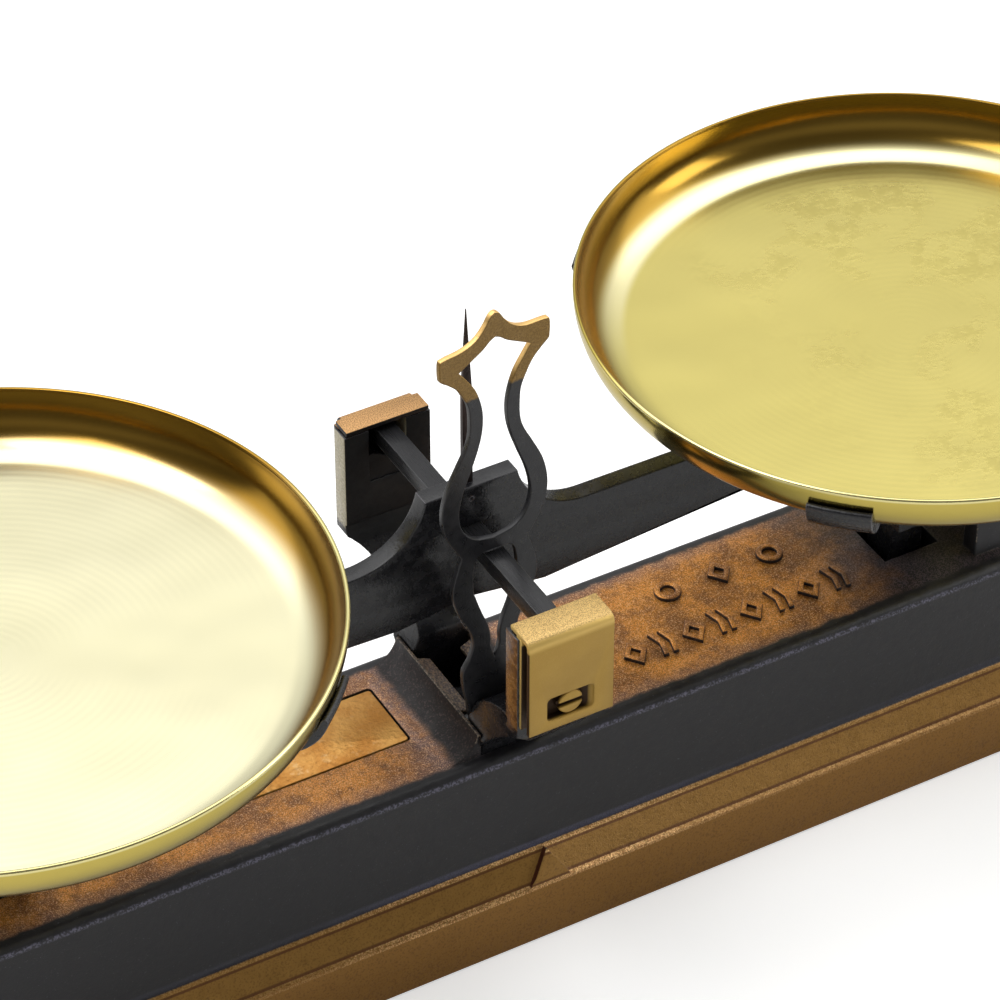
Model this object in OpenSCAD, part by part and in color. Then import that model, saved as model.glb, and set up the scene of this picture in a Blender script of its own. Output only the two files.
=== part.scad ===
// Counter balance with two loose brass pans carried above an equal-arm beam.
// The origin is the centre of the underside, X runs along the beam, Y to the rear and Z up.

/* [Pans] */
// Outer diameter of a pan at its rim
pan_d = 165; // [150:1:172]
// Height of a pan from its underside to the top of its rim
pan_h = 14.5; // [12:0.5:20]
// Thickness of the pan sheet
pan_t = 1; // [0.8:0.1:1.4]
// Outside radius of the corner between floor and wall
pan_corner_r = 13.4; // [8:0.2:13.8]
// Radius of the rounded bead along the rim
pan_bead_r = 0.55; // [0.45:0.05:0.8]

/* [Lever geometry] */
// Distance from the centre knife edge to each end knife edge
arm_len = 124; // [118:1:132]
// Height of the centre knife edge above the table
knife_z = 103.2; // [100:0.2:110]
// How far the end knife edges lie below the centre knife edge
end_drop = 0.8; // [0.4:0.1:1.2]
// Distance from each knife edge down to the pivot of the lower stay
link_h = 73.2; // [68:0.2:76]
// Height of the pan seats above the end knife edges
seat_rise = 18.1; // [17:0.1:20]

/* [Beam] */
// Thickness of the beam plate
beam_t = 5; // [4:0.25:6]
// Height of the hub top above the knife edge
hub_top = 20.3; // [18:0.1:24]
// Half width of the flat top of the hub
hub_half = 12; // [10:0.5:14]
// Height of the top of the arms above the knife edge
arm_top = 4.9; // [4:0.1:6]
// Radius of the hollow curve between hub and arm
shoulder_r = 19.4; // [14:0.2:22]
// Depth of the beam below the knife edge where the arms start
arm_low = 16.1; // [14:0.1:17]
// Distance from the centre at which the arms are deepest
arm_low_x = 20; // [14:1:26]
// Depth of the beam below the knife edge at its middle
mid_low = 13.4; // [12:0.1:15]
// Depth of the arms below the knife edge at their ends
tip_low = 6; // [5:0.25:8]
// Radius of the round eye at each end of the beam
eye_r = 8.6; // [8:0.1:9.5]

/* [Knives] */
// Width of the square centre knife bar
bar_w = 5.2; // [4.6:0.1:6]
// Height of the centre knife bar above its edge
bar_h = 8.8; // [7.6:0.1:9.6]
// Height of the ground bevels of the centre knife bar
bar_bevel = 4.2; // [3.6:0.1:4.6]
// Width of an end knife
end_knife_w = 5; // [4:0.1:6]
// Height of an end knife
end_knife_h = 7; // [6:0.1:8]

/* [Pointer] */
// Height of the pointer tip above the knife edge
pointer_top = 71; // [60:0.5:76]
// Length of the pointer's tapering point
pointer_point = 24; // [16:1:32]
// Width of the pointer below its point
pointer_w = 2.6; // [2.2:0.1:4]
// Thickness of the pointer blade
pointer_t = 1.3; // [1:0.1:1.8]
// Depth of the slot in the hub that holds the pointer
pointer_seat = 7; // [5:0.5:8]

/* [Index frame] */
// Thickness of the index frame sheet
lyre_t = 1.5; // [1.2:0.1:2.4]
// Half width of the index frame at its top corners
lyre_half = 14.2; // [13.5:0.1:16]
// Height of the top point of the index frame above the knife edge
lyre_top = 78.9; // [74.9:0.5:82.9]

/* [Base] */
// Half length of the base top
base_half_l = 157; // [155:1:170]
// Half width of the base top
base_half_w = 24.2; // [23.8:0.2:27]
// Height of the base top above the table
base_h = 56; // [54:0.5:57]
// Thickness of the base top
top_t = 4.5; // [4:0.25:6]
// Thickness of the base side walls
wall_t = 4.6; // [4:0.2:5]
// Radius of the rounded top edge
edge_r = 2.6; // [1.8:0.2:3.2]
// How far the dark side walls lean out from top to plinth
side_flare = 2.8; // [1:0.2:4]
// Height of the top of the plinth
plinth_h = 26.4; // [22:0.2:30]
// Height of the step in the plinth
step_h = 17.4; // [13:0.2:20]
// How far the sloped band of the plinth leans out
band_flare = 3.2; // [2:0.2:4]
// Width of each small ledge of the plinth
ledge = 0.8; // [0.5:0.1:1.2]
// Radius of the base corners in plan, at the top
corner_r = 7; // [5:0.5:10]
// Height of the lips beside the central well
lip_h = 7; // [5:0.5:8]
// Half width of the central well
well_half = 7.9; // [7.6:0.1:9]
// Width of the top of each lip
lip_w = 0.6; // [0.4:0.1:1.2]
// How far the sloping ledge inside each lip reaches over the well
ledge_reach = 3.6; // [2.4:0.2:4.4]
// Radius of the hollow ramp outside each lip
ramp_r = 8.5; // [7:0.5:10]

/* [Pillars and housings] */
// Distance from the middle plane to the inner face of a housing
housing_in = 39.3; // [37:0.1:41]
// Depth of a housing
housing_d = 5.4; // [5:0.1:6.5]
// Half width of a housing
housing_half = 11.8; // [11.4:0.1:13]
// Height of the housing top above the knife edge
housing_up = 9.9; // [9.4:0.1:12]
// Depth of the housing bottom below the knife edge
housing_low = 18.2; // [16:0.2:20]
// Half width of the notch that lets the knife bar in
notch_half = 5.1; // [4.6:0.1:6]
// Half width of a pillar at its waist
waist_half = 5.3; // [4.6:0.1:6.5]
// Radius of the hollow sides of a pillar
waist_r = 14; // [13:0.5:16]
// Distance from the middle plane to the inner face of a pillar foot
foot_in = 13.6; // [13.4:0.1:14.4]
// Height of the bearing block from its foot to the knife edge
bearing_h = 6.2; // [5:0.2:7]

/* [Covers] */
// Half width of a cover
cover_half = 11.3; // [10.8:0.1:12]
// Thickness of the cover sheet
cover_t = 1.3; // [1:0.1:1.6]
// Gap between the housing and the back of the cover, which the pocket bridges
cover_gap = 3.4; // [2.8:0.1:4]
// Length of the cover's top flange
flange_l = 8.8; // [8:0.1:10]
// Outside radius of the cover's bend
bend_r = 2.2; // [1.8:0.1:3]
// Height of a cover
cover_h = 28.4; // [27:0.2:30]
// Width of the window of the cover's pocket
pocket_w = 12.8; // [10:0.2:14]
// Height of the window of the cover's pocket
pocket_h = 7; // [6.4:0.1:8]
// Height of the pocket centre above the cover's lower edge
pocket_z = 6.2; // [5.6:0.1:7]
// Diameter of a cover screw's head
cover_screw_d = 6.2; // [5:0.1:6.2]
// Thickness of an end plate
end_plate_t = 1; // [0.8:0.1:1.4]
// How much narrower the rear cover's leg is than its cap, on each side
leg_inset = 1.5; // [1:0.1:3]

/* [Pan carriers] */
// Width of a carrier arm at its outer end
arm_w = 13; // [11:0.5:16]
// Thickness of a carrier arm
arm_t = 3; // [2.5:0.25:4]
// Radius of the carrier's hub
hub_r = 17; // [15:0.5:20]
// Thickness of the carrier's hub
hub_t = 7; // [6:0.25:8]
// Width of a lug that holds the pan
lug_w = 15.5; // [13:0.5:18]
// Thickness of a lug
lug_t = 1.8; // [1.4:0.1:2.4]
// How far the top of a lug lies below the pan rim
lug_below = 4.5; // [3:0.25:6]
// Half width of a stirrup cheek
cheek_half = 7; // [6.4:0.2:8]
// Thickness of a stirrup cheek
cheek_t = 4; // [3.5:0.1:5]
// Distance from the middle plane to the inner face of a stirrup cheek
cheek_in = 7.5; // [6.5:0.1:8.5]
// Height of the gap between the stirrup's yoke and the base top, which limits the swing
stop_gap = 11.4; // [11:0.1:12]
// Thickness of the yoke
yoke_t = 6; // [5:0.5:8]
// Width and depth of the stem below the yoke
stem_w = 9; // [8:0.25:10]

/* [Lower stay] */
// Thickness of the stay bar
stay_t = 4; // [3:0.25:5]
// Depth of the stay bar
stay_h = 9; // [8:0.25:10]
// Radius of the stay's bosses
stay_boss_r = 6; // [5.4:0.1:7]
// Radius of the stay pins
pin_r = 2.5; // [2:0.1:3]
// Radial play of the stay's open end pivots
open_play = 0.4; // [0.3:0.05:0.6]
// Thickness of each cheek that holds a stay pin
ear_t = 3; // [2.5:0.1:4]

/* [Small parts] */
// Radius of the shanks of the small screws
screw_r = 1.5; // [1.2:0.05:1.8]
// Radius of the heads of the small screws
screw_head_r = 2.8; // [2.4:0.1:3.2]
// Height of the heads of the small screws
screw_head_h = 1.8; // [1.4:0.1:2.2]
// Length of the adjusting plate in the base top
plate_l = 45; // [30:1:60]
// Width of the adjusting plate
plate_w = 20.4; // [14:0.2:24]
// Thickness of the adjusting plate
plate_t = 2; // [1.5:0.1:2.5]
// Width of the joint round the adjusting plate
plate_gap = 0.5; // [0.3:0.05:0.8]
// Height of the raised ornament on the base top
relief_h = 1.1; // [0.6:0.1:1.6]

/* [Hidden] */

// Clearances
eps = 0.01;
fit = 0.03;
edge_play = 0.04;
loose = 0.3;
side_gap = 0.5;
rest_gap = 0.05;

// Heights above the table
end_knife_z = knife_z - end_drop;
seat_z = end_knife_z + seat_rise;
rim_z = seat_z + pan_h;
stay_z = knife_z - link_h;
stay_end_z = stay_z - end_drop;
hub_low_z = seat_z - hub_t;
under_top_z = base_h - top_t;
yoke_z = base_h + stop_gap;

// Widths of the base at its successive levels
plinth_top_w = base_half_w + side_flare;
band_top_w = plinth_top_w + ledge;
band_low_w = band_top_w + band_flare;
step_w = band_low_w + ledge;
foot_w = step_w + 1.2;
in_w = base_half_w - wall_t;
in_low_w = band_top_w - wall_t + 1.4;
in_l = base_half_l - wall_t;
in_low_l = in_l + in_low_w - in_w;

// Housings, covers and the parts in them
housing_out = housing_in + housing_d;
housing_top_z = knife_z + housing_up;
housing_low_z = knife_z - housing_low;
bearing_z = knife_z - bearing_h;
plate_out = housing_out + end_plate_t;
cover_back = housing_out + cover_gap;
cover_out = cover_back + cover_t;
cover_top_z = housing_top_z + 0.4 + cover_t;
cover_low_z = cover_top_z - cover_h;
pocket_mid_z = cover_low_z + pocket_z;
pocket_wall = 1.1;
pocket_floor_t = 1.2;
bar_half = housing_out - 0.4;
rear_back = plate_out + cover_t;
front_seat = plate_out + pocket_floor_t;

// Pillars
root_in = in_w;
root_out = root_in + 0.9;
lip_x = well_half + lip_w;
tongue_half = well_half - loose;
tongue_low_z = under_top_z - 15;
lean_low_z = base_h + lip_h + 2.5;
waist_z = (base_h + housing_low_z) / 2 + 0.4;

// Pans, whose corner can't be taller than their wall
bead_r = max(pan_bead_r, pan_t / 2 + 0.03);
pan_wall_r = pan_d / 2 - bead_r + pan_t / 2;
pan_r = min(pan_corner_r, pan_h - bead_r - 0.1);

// Index frame
lyre_y = -(foot_in - lyre_t / 2);

// Round sections are true curves
$fn = 96;

function arc(cx, cz, r, a0, a1, n) = [for (i = [0:n]) [cx + r * cos(a0 + (a1 - a0) * i / n),
                                                       cz + r * sin(a0 + (a1 - a0) * i / n)]];

// Smooth curve through hand-chosen points, with n steps between neighbours
function spline(p, n) = [for (i = [0:len(p) - 2]) for (j = [0:n - 1])
    let (a = p[max(i - 1, 0)], b = p[i], c = p[i + 1], d = p[min(i + 2, len(p) - 1)], t = j / n)
    0.5 * (2 * b + (c - a) * t + (2 * a - 5 * b + 4 * c - d) * t * t + (3 * b - a - 3 * c + d) * t * t * t)];

function ease(t) = (1 - cos(180 * t)) / 2;
function flip(p) = [for (i = [len(p) - 1:-1:0]) [-p[i][0], p[i][1]]];

// Closes a right-hand half outline with its mirror image; the last point of the half lies on the axis
module closed(half, points) {
    polygon(concat(half, [points[len(points) - 1]], [for (q = flip(half)) if (q[0] < -0.001) q]));
}

// Puts a shape that is drawn in X and Z upright, from y0 to y1
module upright(y0, y1) {
    translate([0, y1, 0]) rotate([90, 0, 0]) linear_extrude(y1 - y0) children();
}

// Puts a shape that is drawn in Y and Z upright, over x from -h to h
module across(h) {
    translate([-h, 0, 0]) rotate([90, 0, 90]) linear_extrude(2 * h) children();
}

module block(x0, x1, y0, y1, z0, z1) {
    translate([x0, y0, z0]) cube([x1 - x0, y1 - y0, z1 - z0]);
}

module rod_y(x, z, r, y0, y1) {
    translate([x, y1, z]) rotate([90, 0, 0]) cylinder(r = r, h = y1 - y0);
}

module rounded_rect(half_x, half_y, r) {
    union() {
        square([2 * half_x, 2 * (half_y - r)], center = true);
        square([2 * (half_x - r), 2 * half_y], center = true);
        for (sx = [-1, 1], sy = [-1, 1]) translate([sx * (half_x - r), sy * (half_y - r)]) circle(r);
    }
}

// A thin level slice of the base, grown by the given amount beyond the base top
module base_slice(grow, z) {
    translate([0, 0, z]) linear_extrude(eps)
        rounded_rect(base_half_l + grow, base_half_w + grow, corner_r + max(grow, -corner_r + 1), $fn = 32);
}

module base_shell() {
    hull() {
        for (a = [0:22.5:90]) base_slice(-edge_r * (1 - cos(a)), base_h - edge_r * (1 - sin(a)) - eps);
        base_slice(side_flare, plinth_h - 1);
    }
    hull() {
        base_slice(side_flare + ledge - 0.4, plinth_h - eps);
        base_slice(side_flare + ledge, plinth_h - 0.5);
        base_slice(band_low_w - base_half_w, step_h - 0.2);
    }
    hull() {
        base_slice(step_w - base_half_w - 0.4, step_h - eps);
        base_slice(step_w - base_half_w, step_h - 0.6);
        base_slice(foot_w - base_half_w, 0.8);
        base_slice(foot_w - base_half_w - 0.6, 0);
    }
}

// Hollow ramps that rise to the lips on both sides of the well
module well_lips() {
    ramp = arc(lip_x + ramp_r, base_h + ramp_r, ramp_r, 270, 180 + asin((ramp_r - lip_h) / ramp_r), 10);
    for (s = [0, 1]) mirror([s, 0, 0])
        upright(-root_out, root_out)
            polygon(concat([[well_half, under_top_z], [lip_x + ramp_r, under_top_z]], ramp,
                           [[lip_x - 0.2, base_h + lip_h], [well_half, base_h + lip_h]]));
}

// Ledges that slope down from the lips over the well, between the feet of the two pillars
module well_ledges() {
    top = base_h + lip_h;
    front = foot_in - lyre_t - screw_head_h - loose;
    for (s = [0, 1]) mirror([s, 0, 0])
        upright(-front, foot_in - screw_head_h - loose)
            polygon([[well_half + 0.3, top - 0.1], [well_half - ledge_reach, top - 2], [well_half - ledge_reach, top - 3],
                     [well_half + 0.3, top - 2.4]]);
}

// One plain mark of the raised ornament: an open lozenge, a pair of chevrons or a ring
module mark(kind) {
    if (kind == 0) difference() {
        polygon([[0, -4.4], [3.3, 0], [0, 4.4], [-3.3, 0]]);
        polygon([[0, -2], [1.5, 0], [0, 2], [-1.5, 0]]);
    }
    if (kind == 1) for (x = [-1.9, 0.9])
        polygon([[x - 0.7, -4.2], [x + 0.7, -4.2], [x + 1.9, 0], [x + 0.7, 4.2], [x - 0.7, 4.2], [x + 0.4, 0]]);
    if (kind == 2) difference() {
        circle(3.5);
        circle(1.9);
    }
}

// Two raised rows of plain marks on the right half of the base top
module relief() {
    translate([0, 0, base_h - eps]) linear_extrude(relief_h + eps) {
        for (i = [0:7]) translate([43 + 8.4 * i, -7.6]) mark(i % 2);
        for (i = [0:2]) translate([62 + 15 * i, 8.6]) mark(i == 1 ? 0 : 2);
    }
}

// Raised pointed shield on the sloped band of the plinth
module shield(s) {
    slope = atan(band_flare / (plinth_h - step_h));
    reach = (plinth_h - step_h) * 1.5;
    intersection() {
        scale([1, s, 1]) translate([4, -band_top_w, plinth_h - 0.3]) rotate([-slope, 0, 0])
            upright(-1.8, 3) polygon([[0, 0], [reach * 0.6, -reach], [-reach * 0.6, -reach]]);
        block(-60, 60, -step_w, step_w, step_h - 1, plinth_h + 5);
    }
}

// Guard walls round the outer side of the pan carrier's stirrup
module end_guard() {
    x0 = arm_len + 13;
    x1 = base_half_l - 5;
    y0 = 12;
    y1 = 17.4;
    h = 22;
    fillet = 5;
    difference() {
        union() {
            block(x0, x1, -y1, y1, base_h - eps, base_h + h);
            for (s = [-1, 1]) translate([0, s * (y0 + y1) / 2, 0])
                upright(-(y1 - y0) / 2, (y1 - y0) / 2)
                    polygon(concat([[x0 + eps, base_h - eps]], arc(x0 - fillet, base_h + fillet, fillet, 0, -90, 6),
                                   [[x0 - fillet, base_h - eps]]));
        }
        block(x0 - 1, x1 - 4, -y0, y0, base_h, base_h + h + 1);
    }
}

module base_casting() {
    plate_half_l = plate_l / 2 + plate_gap;
    plate_half_w = plate_w / 2 + plate_gap;
    plate_x = -20 - plate_l / 2;
    plate_y = 3.5;
    slot = stem_w / 2 + 3.5;
    color([0.16, 0.15, 0.15]) difference() {
        union() {
            difference() {
                base_shell();
                translate([0, 0, step_h]) linear_extrude(under_top_z - step_h)
                    rounded_rect(in_l, in_w, corner_r - 3);
                translate([0, 0, -1]) linear_extrude(step_h - 2)
                    rounded_rect(in_low_l, in_low_w, corner_r - 2);
                hull() {
                    translate([0, 0, step_h - 3.1]) linear_extrude(eps)
                        rounded_rect(in_low_l, in_low_w, corner_r - 2, $fn = 32);
                    translate([0, 0, step_h + 4]) linear_extrude(eps)
                        rounded_rect(in_l, in_w, corner_r - 3, $fn = 32);
                }
            }
            well_lips();
            relief();
            shield(1);
            shield(-1);
            end_guard();
            mirror([1, 0, 0]) end_guard();
        }
        block(-well_half, well_half, -root_in, root_in, under_top_z - 1, base_h + lip_h + 1);
        for (s = [-1, 1]) block(s * arm_len - slot, s * arm_len + slot, -slot, slot, under_top_z - 1, base_h + 1);
        translate([plate_x, plate_y, base_h - plate_t]) linear_extrude(plate_t + 1)
            rounded_rect(plate_half_l, plate_half_w, 2);
        translate([plate_x, plate_y, under_top_z - 1]) linear_extrude(top_t)
            rounded_rect(plate_half_l - 3, plate_half_w - 3, 1.5);
        for (s = [-1, 1]) {
            translate([s * bracket_screw_x, 0, under_top_z - 1]) cylinder(r = screw_r + fit, h = top_t - 0.5);
            for (sx = [-1, 1])
                rod_y(sx * pillar_screw_x, pillar_screw_z, screw_r + fit,
                      s > 0 ? root_in - 1 : -root_in - wall_t + 1, s > 0 ? root_in + wall_t - 1 : -root_in + 1);
        }
    }
    color([0.16, 0.15, 0.15]) well_ledges();
}

bracket_screw_x = well_half + 6;
pillar_screw_x = 3.8;
pillar_screw_z = under_top_z - 8;

// Cast pillar with its bearing housing, drawn at the rear
module pillar_shape() {
    steps = 14;
    in_rise = (housing_low_z + 0.4 - lean_low_z) / steps;
    out_rise = (housing_low_z - 1.5 - base_h - 1.2) / steps;
    intersection() {
        across(housing_half)
            polygon(concat([[foot_in, tongue_low_z], [root_in - fit, tongue_low_z], [root_in - fit, base_h + fit],
                            [root_out, base_h + fit]],
                           [for (i = [0:steps]) [root_out + (housing_out - root_out) * ease(i / steps),
                                                 base_h + 1.2 + i * out_rise]],
                           [[housing_out, housing_top_z], [housing_in, housing_top_z],
                            [housing_in, housing_low_z + 1]],
                           [for (i = [steps:-1:0]) [foot_in + (housing_in + 0.7 - foot_in) * ease(i / steps),
                                                    lean_low_z + i * in_rise]]));
        upright(0, housing_out + 1) difference() {
            union() {
                translate([-housing_half, waist_z]) square([2 * housing_half, housing_top_z - waist_z]);
                translate([-lip_x, tongue_low_z]) square([2 * lip_x, waist_z - tongue_low_z + eps]);
            }
            for (s = [-1, 1]) translate([s * (waist_half + waist_r), waist_z]) circle(waist_r);
        }
    }
}

module pillar() {
    color([0.13, 0.13, 0.14]) difference() {
        pillar_shape();
        for (s = [0, 1]) mirror([s, 0, 0])
            block(tongue_half, housing_half + 1, foot_in - 1, root_out + side_gap, tongue_low_z - 1,
                  base_h + lip_h + side_gap);
        block(-notch_half, notch_half, housing_in - 1, housing_out + 1, bearing_z, housing_top_z + 1);
        rod_y(0, pocket_mid_z, screw_r + fit, housing_in + 1.2, housing_out + 1);
        for (s = [-1, 1]) rod_y(s * pillar_screw_x, pillar_screw_z, screw_r + fit, foot_in - 1, root_in + 1);
        for (z = index_screw_z) rod_y(0, z, screw_r + fit, foot_in - 1, foot_in + 4);
    }
}

index_screw_z = [base_h + 2.2, base_h + 8.4];

module screw(length) {
    difference() {
        union() {
            cylinder(r = screw_r, h = length);
            translate([0, 0, -screw_head_h]) cylinder(r = screw_head_r, h = screw_head_h);
        }
        translate([-screw_head_r - 1, -0.4, -screw_head_h - 1]) cube([2 * screw_head_r + 2, 0.8, 1.8]);
    }
}

// Screws from the hub side through the pillar's tongue into the base wall, drawn at the rear
module pillar_screws() {
    color("silver") for (s = [-1, 1])
        translate([s * pillar_screw_x, foot_in, pillar_screw_z]) rotate([-90, 0, 0])
            screw(root_in - foot_in + wall_t - 1.6);
}

// Hardened block whose vee carries the knife edge, drawn at the rear
module bearing() {
    half = notch_half - fit;
    vee = 1.9;
    color([0.6, 0.6, 0.62]) upright(housing_in + 0.6, housing_out)
        polygon([[-half, bearing_z], [half, bearing_z], [half, knife_z - edge_play + vee], [vee * 1.9, knife_z -
                 edge_play + vee], [0, knife_z - edge_play], [-vee * 1.9, knife_z - edge_play + vee],
                 [-half, knife_z - edge_play + vee]]);
}

// Sheet that closes the housing and limits the end play of the knife bar, drawn at the rear
module end_plate() {
    color([0.62, 0.48, 0.24]) difference() {
        union() {
            block(-cover_half, cover_half, housing_out, plate_out, housing_low_z + 1, housing_top_z + 0.3);
            block(-cover_half, cover_half, housing_out - 1.4, plate_out, housing_top_z, housing_top_z + 0.3);
        }
        rod_y(0, pocket_mid_z, screw_r + fit, housing_out - 1, plate_out + 1);
    }
}

// Bent sheet cover with a pressed pocket for its screw, drawn at the rear and mirrored to the front
module front_cover() {
    flange_in = cover_out - flange_l;
    bend_in = bend_r - cover_t;
    w = pocket_w / 2;
    h = pocket_h / 2;
    color([0.67, 0.53, 0.26]) difference() {
        union() {
            across(cover_half) difference() {
                union() {
                    translate([cover_back, cover_low_z]) square([cover_t, cover_h - bend_r]);
                    translate([flange_in, cover_top_z - cover_t]) square([flange_l - bend_r, cover_t]);
                    translate([cover_out - bend_r, cover_top_z - bend_r]) intersection() {
                        circle(bend_r);
                        square(bend_r);
                    }
                }
                translate([cover_out - bend_r, cover_top_z - bend_r]) circle(bend_in);
            }
            block(-w - pocket_wall, w + pocket_wall, plate_out, cover_back + eps, pocket_mid_z - h - pocket_wall,
                  pocket_mid_z + h + pocket_wall);
        }
        block(-w, w, plate_out + pocket_floor_t, cover_out + 1, pocket_mid_z - h, pocket_mid_z + h);
        rod_y(0, pocket_mid_z, screw_r + fit, plate_out - 1, cover_out);
    }
}

// Plain cover at the rear: a cap as deep as the housing, with a leg that lies flat on the end plate
module rear_cover() {
    turn_y = rear_back - bend_r;
    turn_z = cover_top_z - bend_r;
    color([0.67, 0.53, 0.26]) difference() {
        union() {
            block(-cover_half, cover_half, housing_in - 0.2, turn_y, cover_top_z - cover_t, cover_top_z);
            across(cover_half - leg_inset) difference() {
                union() {
                    translate([plate_out, cover_low_z]) square([cover_t, turn_z - cover_low_z]);
                    translate([turn_y, turn_z]) intersection() {
                        circle(bend_r);
                        square(bend_r);
                    }
                    translate([turn_y - 1, cover_top_z - cover_t]) square([1, cover_t]);
                }
                translate([turn_y - 2, cover_low_z])
                    square([plate_out - turn_y + 2, cover_top_z - cover_t - cover_low_z]);
            }
        }
        rod_y(0, pocket_mid_z, screw_r + fit, plate_out - 1, rear_back + 1);
    }
}

// Slotted cover screw, drawn at the rear
module cover_screw(seat, head_h) {
    color([0.62, 0.48, 0.24]) difference() {
        union() {
            rod_y(0, pocket_mid_z, cover_screw_d / 2, seat, seat + head_h);
            rod_y(0, pocket_mid_z, screw_r, housing_in + 1.4, seat + eps);
        }
        translate([0, seat + head_h, pocket_mid_z]) rotate([0, 5, 0])
            cube([cover_screw_d + 1, 2.4, 1.1], center = true);
    }
}

module front() { mirror([0, 1, 0]) children(); }

// Points of the index frame are given for a knife edge at height 0, then stretched above the bridge and
// below the narrow waist so that its top and its foot stay where they belong
function lyre_fit(p) = [for (q = p) [q[0] * lyre_half / 14.2,
    q[1] > 13 ? 13 + (q[1] - 13) * (lyre_top - 13) / 65.9
              : q[1] > -17.7 ? q[1] : -17.7 + (q[1] + 17.7) * (knife_z - base_h + 2 - 17.7) / 31.5]];

function lyre_outer() = lyre_fit([
    [0, 78.9], [1.2, 78.2], [2.5, 76.1], [4, 74.2], [5.5, 72.9], [7.2, 72], [9.3, 71.5], [13, 71.2], [14.2, 70.4],
    [14.2, 66], [13.7, 65], [12.2, 63.6], [10.2, 61.2], [8.7, 58.2], [7.3, 54.6], [6.9, 50.6], [7, 46],
    [8, 42.3], [10.3, 37.6], [12.9, 31.8], [14.1, 26], [13.8, 20.6], [12.2, 16], [9.6, 11.3], [9, 9.8],
    [9.8, 7.3], [11.2, 1.8], [11.2, -2.2], [9.4, -8.2], [7, -12.7], [5.9, -17.7], [7, -22.2], [8.8, -25.7],
    [8.6, -31.2], [7.6, -36.2], [7.2, -39.6], [6, -44], [3.4, -48], [0, -49.2]]);

function lyre_window() = lyre_fit([[0, 71.9], [1.4, 71.2], [3.2, 69.6], [5.8, 67.9], [9, 65.8]]);

function lyre_window_side() = lyre_fit([
    [9, 65.8], [7.3, 62.9], [5.7, 59.6], [4.3, 56], [3.4, 51.5], [3.5, 46.5], [4.5, 41.8], [6.3, 36.3],
    [8.4, 30.3], [9.5, 24.8], [9.2, 20.3], [7.5, 16.6], [4.5, 14.2], [0, 13.2]]);

// The ring's upper half follows the knife bar, which swings inside it
function lyre_ring() = let (w = max(5.8 * lyre_half / 14.2, bar_w / 2 + 3.1), t = bar_h + 1)
    concat([[0, t], [w * 0.7, t - 0.5], [w * 0.96, t - 4]], lyre_fit([
    [w * 14.2 / lyre_half, -0.7], [5, -4.2], [3.4, -9.2], [1.9, -13.2], [1.2, -17.2], [1.2, -20.2],
    [0, -24.2]]));

module index_frame() {
    outer = spline(lyre_outer(), 4);
    window = concat(spline(lyre_window(), 3), spline(lyre_window_side(), 4));
    ring = spline(lyre_ring(), 4);
    color([0.2, 0.2, 0.2]) difference() {
        translate([0, lyre_y, knife_z]) upright(-lyre_t / 2, lyre_t / 2) difference() {
            closed(outer, lyre_outer());
            closed(window, lyre_window_side());
            closed(ring, lyre_ring());
        }
        for (z = index_screw_z) rod_y(0, z, screw_r + fit, lyre_y - lyre_t, lyre_y + lyre_t);
    }
}

module index_frame_screws() {
    color("silver") for (z = index_screw_z)
        translate([0, -foot_in + lyre_t, z]) rotate([90, 0, 0]) screw(lyre_t + 3.4);
}

module adjusting_plate() {
    color([0.72, 0.5, 0.24]) translate([-20 - plate_l / 2, 3.5, base_h - plate_t]) linear_extrude(plate_t)
        rounded_rect(plate_l / 2, plate_w / 2, 1.5);
}

// Bracket under the base top that carries the centre pivot of the stay
module stay_bracket() {
    ear_in = stay_t / 2 + side_gap;
    ear_half = stay_boss_r + 1;
    ear_out = ear_in + ear_t;
    half_l = bracket_screw_x + screw_head_r + 2;
    half_w = ear_out + 2.5;
    color([0.25, 0.25, 0.26]) difference() {
        union() {
            block(-half_l, half_l, -half_w, half_w, under_top_z - 3, under_top_z);
            for (s = [0, 1]) mirror([0, s, 0]) {
                block(-ear_half, ear_half, ear_in, ear_out, stay_z, under_top_z - 3 + eps);
                rod_y(0, stay_z, ear_half, ear_in, ear_out);
            }
        }
        rod_y(0, stay_z, pin_r + fit, -ear_out - 1, ear_out + 1);
        for (s = [-1, 1]) translate([s * bracket_screw_x, 0, under_top_z - 4]) cylinder(r = screw_r + fit, h = 5);
    }
}

module stay_bracket_screws() {
    color("silver") for (s = [-1, 1])
        translate([s * bracket_screw_x, 0, under_top_z - 3]) screw(3 + top_t - 2);
}

module stay_pin(x, z) {
    reach = stay_t / 2 + side_gap + ear_t;
    color("silver") {
        rod_y(x, z, pin_r, -reach - 0.6, reach + 0.6);
        rod_y(x, z, pin_r + 1, reach, reach + 1.4);
        rod_y(x, z, pin_r + 1, -reach - 1.4, -reach);
    }
}

module stay_centre_pin() { stay_pin(0, stay_z); }
module left_stay_pin() { stay_pin(-arm_len, stay_end_z); }
module right_stay_pin() { stay_pin(arm_len, stay_end_z); }

// Cross section of the centre knife bar, with its edge at the bottom
module bar_section(grow) {
    w = bar_w / 2 + grow;
    polygon([[0, -grow], [w, bar_bevel - grow * 0.4], [w, bar_h + grow], [-w, bar_h + grow],
             [-w, bar_bevel - grow * 0.4]]);
}

// Cross section of an end knife, with its edge at the top
module end_section(grow) {
    w = end_knife_w / 2 + grow;
    polygon([[0, grow], [w, -w * 1.1], [w, -end_knife_h - grow], [-w, -end_knife_h - grow], [-w, -w * 1.1]]);
}

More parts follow.
